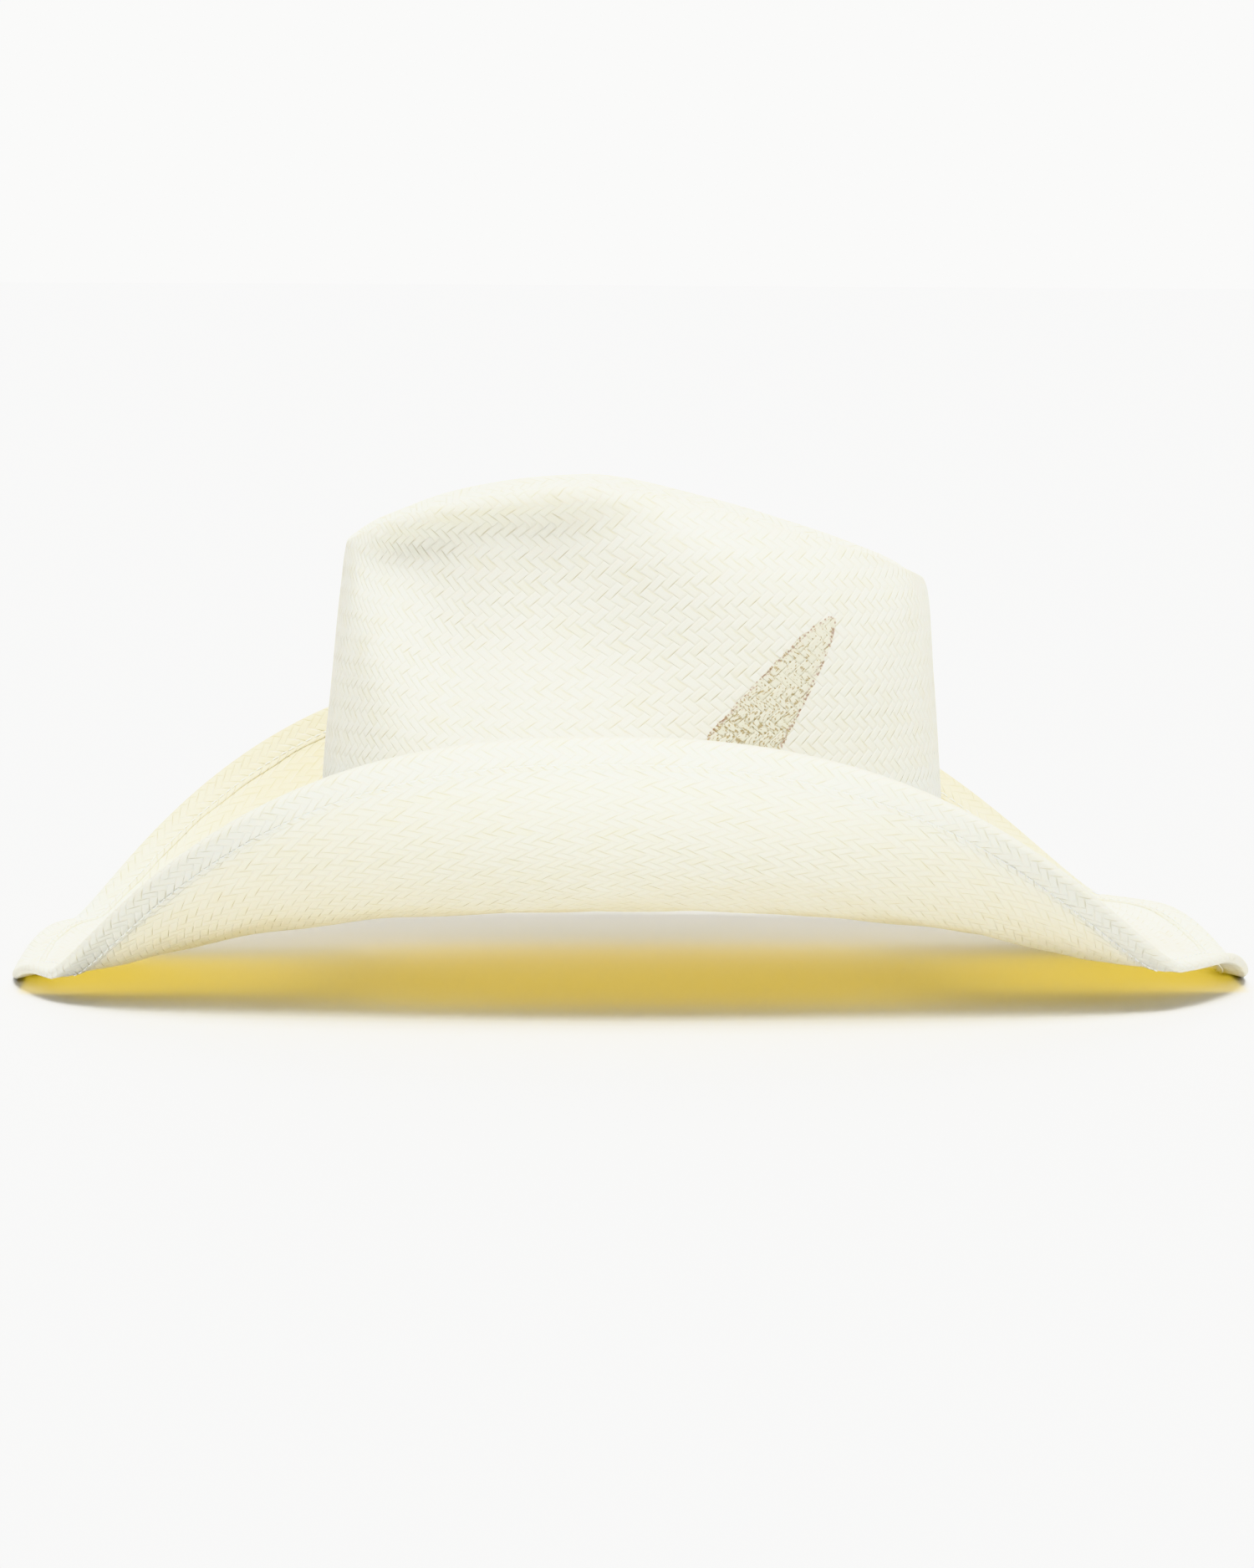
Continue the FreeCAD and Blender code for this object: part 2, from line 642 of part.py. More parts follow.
def hatband_keeper(doc, d):
    """The tab that covers the hatband's join."""
    body, sketch = padded_sketch(doc, "hatband_keeper", 1.0)
    draw_rectangle(sketch, 9, d.hatband_height + 1)
    outside = d.hatband_slack + d.hatband_thickness
    body.Placement = cone_placement(d, 0.0, d.hatband_lift + d.hatband_height / 2, outside + 0.6)
    return body


def hatband_tacks(doc, d):
    """Four short tack stitches that hold the hatband to the crown."""
    tacks = []
    outside = d.hatband_slack + d.hatband_thickness
    for number, degrees in enumerate((50, 130, 230, 310), start=1):
        tack = doc.addObject("Part::Box", f"Tack{number}")
        tack.Length, tack.Width, tack.Height = 0.6, 4.0, 0.5
        corner = Placement(Vector(-0.3, -2.0, 0.1), Rotation())
        height = d.hatband_lift + d.hatband_height / 2
        tack.Placement = cone_placement(d, math.radians(degrees), height, outside).multiply(corner)
        tacks.append(tack)
    group = doc.addObject("Part::Compound", "hatband_tacks")
    group.Links = tacks
    return group


def shaped(doc, name, shape):
    """A sub-part whose surface no sketch or primitive can give."""
    feature = doc.addObject("Part::Feature", name)
    feature.Shape = shape
    feature.Placement = Placement()
    return feature


def check_document(doc):
    for item in doc.Objects:
        if "Invalid" in item.State or "Error" in item.State:
            raise RuntimeError(f"{item.Label} failed: {item.State}")


def write_parts(parts):
    os.makedirs("parts", exist_ok=True)
    whole = FreeCAD.BoundBox()
    for part in parts:
        shape = part.Shape
        if shape.isNull() or not shape.isValid() or not shape.Solids:
            raise RuntimeError(f"{part.Label} has no valid solid")
        shape.exportStep(os.path.join("parts", f"{part.Label}.step"))
        whole.add(shape.BoundBox)
        box = shape.optimalBoundingBox(True, False)
        print(f"{part.Label:22s} solids {len(shape.Solids)}  volume {shape.Volume / 1000:8.2f} cm3"
              f"  z {box.ZMin:7.2f} to {box.ZMax:7.2f}  x {box.XMin:8.2f} to {box.XMax:7.2f}")


def main():
    doc = FreeCAD.newDocument("StrawHat")
    d = make_sheet(doc)
    parts = [
        shaped(doc, "straw_body", straw_body(d)),
        shaped(doc, "edge_band", edge_band(d)),
        shaped(doc, "brim_wire", brim_wire(d)),
        shaped(doc, "wire_sleeve", wire_sleeve(d)),
        shaped(doc, "edge_stitching", edge_stitching(d)),
        sweatband(doc),
        sweatband_reed(doc),
        sweatband_stitching(doc),
        sweatband_seam_tape(doc, d),
        size_tab(doc, d),
        sweatband_bow(doc, d),
        hatband(doc),
        hatband_keeper(doc, d),
        hatband_tacks(doc, d),
    ]
    doc.recompute()
    check_document(doc)
    write_parts(parts)


main()
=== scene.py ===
import math

import bmesh
import bpy
import numpy as np
from mathutils import Matrix, Vector


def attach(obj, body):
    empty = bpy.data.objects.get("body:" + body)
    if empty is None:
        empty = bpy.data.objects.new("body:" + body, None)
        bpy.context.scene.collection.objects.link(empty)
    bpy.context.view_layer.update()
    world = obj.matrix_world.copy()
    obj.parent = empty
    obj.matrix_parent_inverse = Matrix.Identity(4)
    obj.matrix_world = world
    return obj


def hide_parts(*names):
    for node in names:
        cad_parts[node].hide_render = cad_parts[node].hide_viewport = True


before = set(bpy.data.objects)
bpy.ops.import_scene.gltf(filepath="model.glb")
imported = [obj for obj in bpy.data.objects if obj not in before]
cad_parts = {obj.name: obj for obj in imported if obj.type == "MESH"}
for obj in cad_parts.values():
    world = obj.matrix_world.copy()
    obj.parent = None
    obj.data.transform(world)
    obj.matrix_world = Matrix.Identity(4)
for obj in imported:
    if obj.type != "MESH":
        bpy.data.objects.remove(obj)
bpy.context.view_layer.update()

# A straw cowboy hat. The front is at -X, the wearer's left at -Y, and it stands on z = 0.
# Shapes are worked out in millimetres, with the CAD's own numbers, and made in metres.

MM = 0.001

BRIM_LENGTH, BRIM_WIDTH, BRIM_SQUARENESS = 195.2, 143.2, 2.25
TIP_HEIGHT, SIDE_HEIGHT, SIDE_PEAK_X = 2.37, 86.9, -14.5
TIP_SLOPE, SIDE_STEEPNESS, ROOT_SLOPE = 12.0, 78.0, 24.0
BASE_LENGTH, BASE_WIDTH, BASE_HEIGHT = 101.0, 83.5, 36.0
WALL_HEIGHT, LEAN_LENGTH, LEAN_WIDTH = 39.0, 2.6, 3.6
SHOULDER_LENGTH, SHOULDER_WIDTH, SHOULDER_DROP, SHOULDER_SHIFT = 94.2, 72.0, 15.0, 1.3
RIDGE_LENGTH, RIDGE_WIDTH, RIDGE_TAPER, RIDGE_END_DROP = 90.8, 54.0, 0.25, 2.2
PEAK_HEIGHT, PEAK_X, RIDGE_RADIUS = 159.0, -12.0, 192.0
RIDGE_BACK_DROP, RIDGE_BACK_POWER = 27.6, 1.33
CREASE_LENGTH, CREASE_DEPTH, CREASE_END_DEPTH = 60.0, 17.0, 5.0
DENT_DEPTH, DENT_WALL_SHARE, DENT_BROW_SHARE = 24.5, 0.88, 0.18
STRAW = 1.4            # thickness of the straw cloth
WIRE_OFFSET = 1.3      # wire's centre outside the straw's edge
STITCH_INSET = 5.2     # the edge band's stitch line, inside the straw's edge
SWEAT_OUT = -2.0       # sweatband's outer face, from the crown's outer face
SWEAT_IN = -3.2        # and its inner face
HATBAND_IN, HATBAND_OUT = 0.3, 1.6


# --- camera ----------------------------------------------------------------------------

def make_camera():
    """A long lens a little above the brim, looking at the hat's left side."""
    yaw = math.radians(2.8)
    roll = math.radians(0.31)
    distance, height, aim_height = 1.650, 0.2233, 0.0615
    metres_per_pixel = 0.0002686
    frame_width = 1500
    eye = Vector((-distance * math.sin(yaw), -distance * math.cos(yaw), height))
    aim = Vector((0, 0, aim_height))
    forward = (aim - eye).normalized()
    level = forward.cross(Vector((0, 0, 1))).normalized()
    upright = level.cross(forward)
    right = level * math.cos(roll) + upright * math.sin(roll)
    up = upright * math.cos(roll) - level * math.sin(roll)
    data = bpy.data.cameras.new("camera")
    data.sensor_fit = "HORIZONTAL"
    data.sensor_width = 36
    data.lens = (aim - eye).length / metres_per_pixel / frame_width * data.sensor_width
    data.shift_x = -5.6 / frame_width
    data.clip_start = 0.05
    data.clip_end = 500
    camera = bpy.data.objects.new("camera", data)
    turn = Matrix((right, up, -forward)).transposed().to_4x4()
    camera.matrix_world = Matrix.Translation(eye) @ turn
    bpy.context.collection.objects.link(camera)
    bpy.context.scene.camera = camera


make_camera()


# --- the hat's surface, for whole arrays of angles --------------------------------------

def vec(x, y, z):
    return np.stack(np.broadcast_arrays(x, y, z), axis=-1).astype(float)


def unit(v):
    return v / np.linalg.norm(v, axis=-1, keepdims=True)


def ease(value, start, end, quickness=1.0):
    share = np.clip((value - start) / (end - start), 0, 1)
    return 0.5 - 0.5 * np.cos(np.pi * share ** quickness)


def oval(angle, half_x, half_y, power=2.0):
    c, s = np.cos(angle), np.sin(angle)
    reach = (np.abs(c) ** power + np.abs(s) ** power) ** (-1 / power)
    return half_x * c * reach, half_y * s * reach


def edge_point(angle):
    """The brim's edge: low at both tips and rolled up at both sides."""
    x, y = oval(angle, BRIM_LENGTH, BRIM_WIDTH, BRIM_SQUARENESS)
    from_peak = x - SIDE_PEAK_X
    front = from_peak < 0
    reach = np.where(front, BRIM_LENGTH + SIDE_PEAK_X, BRIM_LENGTH - SIDE_PEAK_X)
    part = np.minimum(np.abs(from_peak) / reach, 1.0) ** (BRIM_SQUARENESS / 2)
    turn = np.degrees(np.arccos(part))
    lip = np.where(front, 7.3, 12.0)
    lip_end = np.where(front, 21.0, 25.0)
    roll_start = np.where(front, 24.5, 34.0)
    rise = lip * ease(turn, 0, lip_end)
    rise += (SIDE_HEIGHT - TIP_HEIGHT - lip) * ease(turn, roll_start, 90, 0.69)
    return vec(x, y, TIP_HEIGHT + rise)


def base_point(angle):
    x, y = oval(angle, BASE_LENGTH, BASE_WIDTH)
    return vec(x, y, BASE_HEIGHT)


def brim_point(angle, u):
    """The brim's top face: u is 0 at the edge and 1 at the crown."""
    u = np.broadcast_to(u, np.shape(angle))[..., None]
    edge, base = edge_point(angle), base_point(angle)
    inward = (base - edge) * [1, 1, 0]
    run = np.linalg.norm(inward, axis=-1, keepdims=True)
    inward = inward / run
    roll = (edge[..., 2:] - TIP_HEIGHT) / (SIDE_HEIGHT - TIP_HEIGHT)
    steep = np.radians(-TIP_SLOPE + (SIDE_STEEPNESS + TIP_SLOPE) * roll)
    root = math.radians(ROOT_SLOPE)
    up = np.array([0.0, 0.0, 1.0])
    edge_arm = 0.33 * run + 26 * roll
    root_arm = 0.36 * run
    near_edge = edge + inward * edge_arm * np.cos(steep) - up * edge_arm * np.sin(steep)
    near_base = base - inward * root_arm * math.cos(root) - up * root_arm * math.sin(root)
    return (edge * (1 - u) ** 3 + near_edge * (3 * u * (1 - u) ** 2)
            + near_base * (3 * u * u * (1 - u)) + base * u ** 3)


def ridge_height(x):
    behind = x - PEAK_X
    share = np.maximum(behind, 0) / (RIDGE_LENGTH - PEAK_X)
    arc = PEAK_HEIGHT - RIDGE_RADIUS + np.sqrt(RIDGE_RADIUS ** 2 - behind ** 2)
    return np.where(behind > 0, PEAK_HEIGHT - RIDGE_BACK_DROP * share ** RIDGE_BACK_POWER, arc)


def crown_stations(angle):
    """Points up the crown's wall, over the ridge and down to the centre crease."""
    c, side = np.cos(angle), np.sign(np.sin(angle) + 1e-12)
    base = base_point(angle)
    x, y = oval(angle, RIDGE_LENGTH, RIDGE_WIDTH, 2.2)
    drop = RIDGE_END_DROP * (x / RIDGE_LENGTH) ** 14
    ridge = vec(x, y * (1 + RIDGE_TAPER * c), ridge_height(x) - drop)
    x = CREASE_LENGTH * c
    depth = CREASE_DEPTH + (CREASE_END_DEPTH - CREASE_DEPTH) * c ** 4
    crease = vec(x, 0, ridge_height(x) - depth)
    back = np.degrees(np.arccos(np.clip(c, -1, 1)))
    inward = vec(0, -side * DENT_DEPTH * ease(back, 66, 112), 0)
    upper_dent = inward * np.asarray(ease(180 - back, 6, 48))[..., None]
    lower_dent = inward * DENT_WALL_SHARE * np.asarray(ease(180 - back, 24, 58))[..., None]
    x, y = oval(angle, BASE_LENGTH - LEAN_LENGTH, BASE_WIDTH - LEAN_WIDTH)
    cone = vec(x, y, BASE_HEIGHT + WALL_HEIGHT)
    x, y = oval(angle, SHOULDER_LENGTH, SHOULDER_WIDTH, 2.1)
    shoulder = vec(x + SHOULDER_SHIFT, y, ridge[..., 2] - SHOULDER_DROP)
    brow = shoulder * [0.6, 0.3, 0] + ridge * [0.4, 0.7, 1] - [0, 0, 3.5]
    inner_ridge = ridge * [0.94, 0.86, 1] - [0, 0, 2.6]
    slope = vec(0.5 * (0.9 * ridge[..., 0] + crease[..., 0]), 0.42 * ridge[..., 1],
                crease[..., 2] + 0.28 * (ridge[..., 2] - crease[..., 2]))
    return [base, base + (cone - base) * 0.5, cone, (cone + shoulder) / 2 + lower_dent,
            shoulder + upper_dent, brow + upper_dent * DENT_BROW_SHARE,
            ridge, inner_ridge, slope, crease]


CONE_PLACE, TOP_PLACE = 2 / 9, 7 / 9       # where two of the ten stations lie


def crown_point(angle, w):
    """The crown's outer face: w is 0 at the base, 1 at the crease and 2 at the far base."""
    if w > 1:
        return crown_point(angle, 2 - w) * [1, -1, 1]
    stations = crown_stations(angle)
    spans = len(stations) - 1
    k = min(int(w * spans), spans - 1)
    u = w * spans - k
    start, end = stations[k], stations[k + 1]
    before = stations[k - 1] if k > 0 else start * 2 - end
    after = stations[k + 2] if k + 2 <= spans else start * [1, -1, 1]
    return (start * 2 + (end - before) * u + (before * 2 - start * 5 + end * 4 - after) * u ** 2
            + (start * 3 - before - end * 3 + after) * u ** 3) * 0.5


def face_normal(point_at, angle, v, last=1.0, step=0.002):
    """The unit normal, upwards or outwards, of a surface that ends at the place called last."""
    low, high = np.maximum(v - step, 0.0), np.minimum(v + step, last)
    along = point_at(angle, high) - point_at(angle, low)
    around = point_at(angle + step, v) - point_at(angle - step, v)
    return unit(np.cross(around, along))


def edge_frame(angle, inset=0.0):
    """A point in the middle of the straw's thickness, with the inward and upward directions."""
    step = 0.004
    at_edge = brim_point(angle, 0.0)
    reach = np.linalg.norm(brim_point(angle, step) - at_edge, axis=-1) / step
    u = inset / reach
    for _ in range(4):
        steps = [brim_point(angle, u * i / 6) for i in range(7)]
        walked = sum(np.linalg.norm(b - a, axis=-1) for a, b in zip(steps, steps[1:]))
        u = u + (inset - walked) / reach
    up = face_normal(brim_point, angle, u)
    inward = unit(brim_point(angle, u + step) - brim_point(angle, u))
    return brim_point(angle, u) - up * (STRAW / 2), inward, up


def pairs(first, second):
    """Two arrays joined into one of pairs."""
    return np.stack(np.broadcast_arrays(first, second), axis=-1)


def on_wall(angle, height, offset):
    """A point on the crown's conical wall moved out by offset; height is over the base line."""
    lean = height / WALL_HEIGHT
    x = (BASE_LENGTH - LEAN_LENGTH * lean + offset) * np.cos(angle)
    y = (BASE_WIDTH - LEAN_WIDTH * lean + offset) * np.sin(angle)
    return vec(x, y, BASE_HEIGHT + height)


def lengths_along(points):
    """The distance walked from the first point of one path, or of many side by side."""
    steps = np.linalg.norm(np.diff(points, axis=0), axis=-1)
    return np.concatenate([np.zeros_like(steps[:1]), np.cumsum(steps, axis=0)])


def equal_steps(path_at, count, samples=2880):
    """Angles that divide a closed path into equal lengths, and the path's whole length."""
    angles = np.linspace(0, 2 * np.pi, samples)
    walked = lengths_along(path_at(angles))
    return np.interp(np.linspace(0, walked[-1], count), walked, angles), walked[-1]


# --- meshes from grids of points --------------------------------------------------------

WELD = 0.002           # points nearer than this, in millimetres, become one
APART = 17.3           # each thread's pattern starts this much further on


class Mesher:
    """Gathers grids of points, in millimetres, and makes one welded mesh of them."""

    def __init__(self):
        self.points, self.uvs, self.quads = [], [], []
        self.count = 0

    def grid(self, points, uv=None):
        rows, columns = points.shape[:2]
        index = np.arange(rows * columns).reshape(rows, columns) + self.count
        quads = [index[:-1, :-1], index[:-1, 1:], index[1:, 1:], index[1:, :-1]]
        self.quads.append(np.stack(quads, axis=-1).reshape(-1, 4))
        self.points.append(points.reshape(-1, 3))
        flat = np.zeros((rows, columns, 2)) if uv is None else uv
        self.uvs.append(flat.reshape(-1, 2))
        self.count += rows * columns

    def caps(self, points):
        """Closes both ends of a tube of points, whose last row repeats its first."""
        for end in (0, -1):
            ring = points[:, end]
            centre = np.broadcast_to(ring[:-1].mean(axis=0), ring.shape)
            self.grid(np.array([ring, centre]))

    def tubes(self, paths, ups, radii, sides=6):
        """Round threads along paths (count, points, 3); each closes where its radius is 0."""
        ahead = unit(np.gradient(paths, axis=1))
        across = unit(np.cross(ahead, ups))
        over = np.cross(across, ahead)
        turns = np.linspace(0, 2 * np.pi, sides + 1)
        radii = np.broadcast_to(radii, paths.shape[:2])
        cos, sin = np.cos(turns)[:, None], np.sin(turns)[:, None]
        for number, path in enumerate(paths):
            r = radii[number][:, None, None]
            points = (path[:, None] + r * cos * across[number][:, None]
                      + r * sin * over[number][:, None])
            walked = lengths_along(path)[:, None] + APART * number
            self.grid(points, pairs(walked, turns / (2 * np.pi)))

    def build(self, name):
        points = np.concatenate(self.points)
        quads = np.concatenate(self.quads)
        uvs = np.concatenate(self.uvs)
        keys = np.round(points / WELD).astype(np.int64)
        _, first, welded = np.unique(keys, axis=0, return_index=True, return_inverse=True)
        points = points[first]
        welded = welded.reshape(-1)
        corners = welded[quads]
        a, b, c, d = (points[corners[:, k]] for k in range(4))
        volume = np.einsum("ij,ij->", a, np.cross(b, c)) + np.einsum("ij,ij->", a, np.cross(c, d))
        if volume < 0:
            quads, corners = quads[:, ::-1], corners[:, ::-1]
        faces, face_uvs, seen = [], [], set()
        for source, corner in zip(quads.tolist(), corners.tolist()):
            kept = [k for k in range(4) if corner[k] != corner[k - 1]]
            ring = [corner[k] for k in kept]
            key = frozenset(ring)
            if len(key) < 3 or len(key) != len(ring) or key in seen:
                continue
            seen.add(key)
            faces.append(ring)
            face_uvs.extend(source[k] for k in kept)
        mesh = bpy.data.meshes.new(name)
        mesh.from_pydata((points * MM).tolist(), [], faces)
        layer = mesh.uv_layers.new(name="weave")
        layer.data.foreach_set("uv", uvs[face_uvs].reshape(-1).astype(np.float32))
        mesh.polygons.foreach_set("use_smooth", [True] * len(mesh.polygons))
        mesh.update()
        return mesh


def add_piece(mesher, name, material, slot, *nodes):
    """Makes the object, attaches it to the root and hides the CAD nodes that it stands for; slot is
    not used.
    """
    mesh = mesher.build(name)
    mesh.materials.append(material)
    piece = bpy.data.objects.new(name, mesh)
    bpy.context.collection.objects.link(piece)
    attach(piece, "root")
    if nodes:
        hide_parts(*nodes)
    return piece


def face_outwards(piece):
    """Makes a piece's faces all point outwards."""
    work = bmesh.new()
    work.from_mesh(piece.data)
    bmesh.ops.recalc_face_normals(work, faces=work.faces)
    work.to_mesh(piece.data)
    work.free()


# --- materials --------------------------------------------------------------------------

class Field:
    """A number that varies over a surface: a socket, with arithmetic made of Math nodes."""

    def __init__(self, paint, socket):
        self.paint, self.socket = paint, socket

    def __add__(self, other):
        return self.paint.math("ADD", self, other)

    def __sub__(self, other):
        return self.paint.math("SUBTRACT", self, other)

    def __rsub__(self, other):
        return self.paint.math("SUBTRACT", other, self)

    def __mul__(self, other):
        return self.paint.math("MULTIPLY", self, other)

    def __truediv__(self, other):
        return self.paint.math("DIVIDE", self, other)

    def __pow__(self, other):
        return self.paint.math("POWER", self, other)

    def __mod__(self, other):
        return self.paint.math("FLOORED_MODULO", self, other)

    def __lt__(self, other):
        return self.paint.math("LESS_THAN", self, other)

    __radd__, __rmul__ = __add__, __mul__


class Paint:
    """A new material, and short names for the nodes that it is made of."""

    def __init__(self, name, **settings):
        self.material = bpy.data.materials.new(name)
        self.material.use_nodes = True
        self.tree = self.material.node_tree
        self.shader = self.tree.nodes["Principled BSDF"]
        self.output = self.tree.nodes["Material Output"]
        for socket, value in settings.items():
            self.shader.inputs[socket.replace("_", " ")].default_value = value
        coordinates = self.tree.nodes.new("ShaderNodeTexCoord")
        self.place = coordinates.outputs["Object"]

    def put(self, socket, value):
        """Links a socket to a field or another socket, or sets it to a number or a colour."""
        if isinstance(value, Field):
            self.tree.links.new(value.socket, socket)
        elif isinstance(value, bpy.types.NodeSocket):
            self.tree.links.new(value, socket)
        elif hasattr(value, "__len__") and len(value) == 3 and socket.type == "RGBA":
            socket.default_value = (*value, 1)
        else:
            socket.default_value = value

    def node(self, kind, **settings):
        made = self.tree.nodes.new(kind)
        for key, value in settings.items():
            setattr(made, key, value)
        return made

    def math(self, operation, *values):
        made = self.node("ShaderNodeMath", operation=operation)
        self.put_all(made.inputs, values)
        return Field(self, made.outputs[0])

    def split(self, vector):
        made = self.node("ShaderNodeSeparateXYZ")
        self.put(made.inputs[0], vector)
        return [Field(self, made.outputs[k]) for k in range(3)]

    def joined(self, x, y, z=0.0):
        made = self.node("ShaderNodeCombineXYZ")
        self.put_all(made.inputs, (x, y, z))
        return made.outputs[0]

    def weave_uv(self):
        made = self.node("ShaderNodeUVMap", uv_map="weave")
        u, v, _ = self.split(made.outputs[0])
        return u, v

    def noise(self, vector, scale, detail=2.0, roughness=0.5):
        made = self.node("ShaderNodeTexNoise")
        self.put(made.inputs["Vector"], vector)
        self.put(made.inputs["Scale"], scale)
        self.put(made.inputs["Detail"], detail)
        self.put(made.inputs["Roughness"], roughness)
        return Field(self, made.outputs[0])

    def cells(self, vector, scale):
        """Distance to the nearest of many scattered points, and a random number for each."""
        made = self.node("ShaderNodeTexVoronoi")
        self.put(made.inputs["Vector"], vector)
        self.put(made.inputs["Scale"], scale)
        return Field(self, made.outputs["Distance"]), self.split(made.outputs["Color"])[0]

    def put_all(self, sockets, values):
        for socket, value in zip(sockets, values):
            self.put(socket, value)

    def chance(self, x, y):
        """A random number for each pair of whole numbers."""
        made = self.node("ShaderNodeTexWhiteNoise", noise_dimensions="2D")
        self.put(made.inputs["Vector"], self.joined(x, y))
        return Field(self, made.outputs["Value"])

    def ramp(self, value, start, end, low=0.0, high=1.0):
        """Rises smoothly from low, where the value is at start, to high at end."""
        made = self.node("ShaderNodeMapRange", interpolation_type="SMOOTHSTEP")
        self.put_all(made.inputs, (value, start, end, low, high))
        return Field(self, made.outputs[0])

    def pick(self, share, first, second):
        """The first number where share is 0 and the second where it is 1."""
        made = self.node("ShaderNodeMix", data_type="FLOAT")
        self.put_all([made.inputs[k] for k in (0, 2, 3)], (share, first, second))
        return Field(self, made.outputs[0])

    def blend(self, share, first, second):
        """The same, between two colours."""
        made = self.node("ShaderNodeMix", data_type="RGBA")
        self.put_all([made.inputs[k] for k in (0, 6, 7)], (share, first, second))
        return made.outputs[2]

    def bump(self, height, millimetres):
        made = self.node("ShaderNodeBump")
        made.inputs["Strength"].default_value = 1.0
        made.inputs["Distance"].default_value = millimetres * MM
        self.put(made.inputs["Height"], height)
        self.put(self.shader.inputs["Normal"], made.outputs[0])
        return made.outputs[0]

    def finish(self, colour, roughness):
        self.put(self.shader.inputs["Base Color"], colour)
        self.put(self.shader.inputs["Roughness"], roughness)
        return self.material


def fract(field):
    return field.paint.math("FRACT", field)


def floor(field):
    return field.paint.math("FLOOR", field)


def size_of(field):
    return field.paint.math("ABSOLUTE", field)


def twill(paint, u, v):
    """Flat straws woven two over and two under, on the bias of the u and v directions.

    Gives the surface's height from 0 to 1, a number for each visible length of straw, and
    the places across and along it."""
    p, q = u + v, u - v
    i, j = floor(p), floor(q)
    first_on_top = ((i - j) % 4.0) < 1.5
    run_a = ((q - i + 1.0) % 4.0)
    run_b = ((p - j - 2.0) % 4.0)
    across = paint.pick(first_on_top, fract(q), fract(p)) * 2.0 - 1.0
    along = paint.pick(first_on_top, run_b, run_a) * 0.5
    straw = paint.pick(first_on_top, j + 0.5, i)
    number = floor(paint.pick(first_on_top, (p - j - 2.0) / 4.0, (q - i + 1.0) / 4.0))
    rounded = 1.0 - size_of(across) ** 6.0
    dipping = 1.0 - size_of(along * 2.0 - 1.0) ** 6.0
    return rounded * dipping, paint.chance(straw, number), across, along, paint.chance(straw, 0.5)


FEATHER_TIP, FEATHER_HEADING = (59.6, 119.6), math.radians(233.6)
FEATHER_INK, OUTLINE_INK = (0.33, 0.25, 0.10), (0.30, 0.16, 0.15)


def feather_print(paint):
    """A stippled feather on the crown's left side: where it shows, its outline, and the
    millimetres along it from its tip."""
    x, y, z = paint.split(paint.place)
    dx, dz = x / MM - FEATHER_TIP[0], z / MM - FEATHER_TIP[1]
    cos, sin = math.cos(FEATHER_HEADING), math.sin(FEATHER_HEADING)
    along = dx * cos + dz * sin
    across = dz * cos - dx * sin
    wobble = (paint.noise(paint.place, 420.0, 3.0) - 0.5) * 1.8
    half_width = paint.math("MAXIMUM", along, 0.0) ** 0.5 * 1.58 * paint.ramp(along, 80.0, 50.0)
    inside = half_width - size_of(across) + wobble
    on_crown = (paint.ramp(y, -0.104, -0.100) * (y < 0.0) * paint.ramp(z, 0.0535, 0.0555)
                * paint.ramp(along, 0.2, 1.0))
    shown = paint.ramp(inside, 0.0, 0.5) * on_crown
    outline = paint.ramp(inside, 2.0, 0.4) * shown
    return shown, outline, along


PALE_STRAW, PALER_STRAW = (0.845, 0.885, 0.865), (0.885, 0.925, 0.905)
CREAMY_STRAW, TONED_STRAW = (0.845, 0.865, 0.80), (0.835, 0.85, 0.75)
# Painted backlight: the warm yellow that the hat's far side is tinted, standing in for light coming
# through the straw from behind
BACKLIT_STRAW_TINT = (0.85, 0.80, 0.52)
# The dark colour is the gap between straws together with painted shade, laid on one edge of each
# straw; the brightest is a painted highlight on the other edge
STREAK, GAP_AND_SHADE, GLINT = (0.905, 0.945, 0.93), (0.46, 0.44, 0.29), (1.0, 1.0, 0.97)
STRAW_GLOW = (1.0, 0.84, 0.38)             # light that has come through the straw


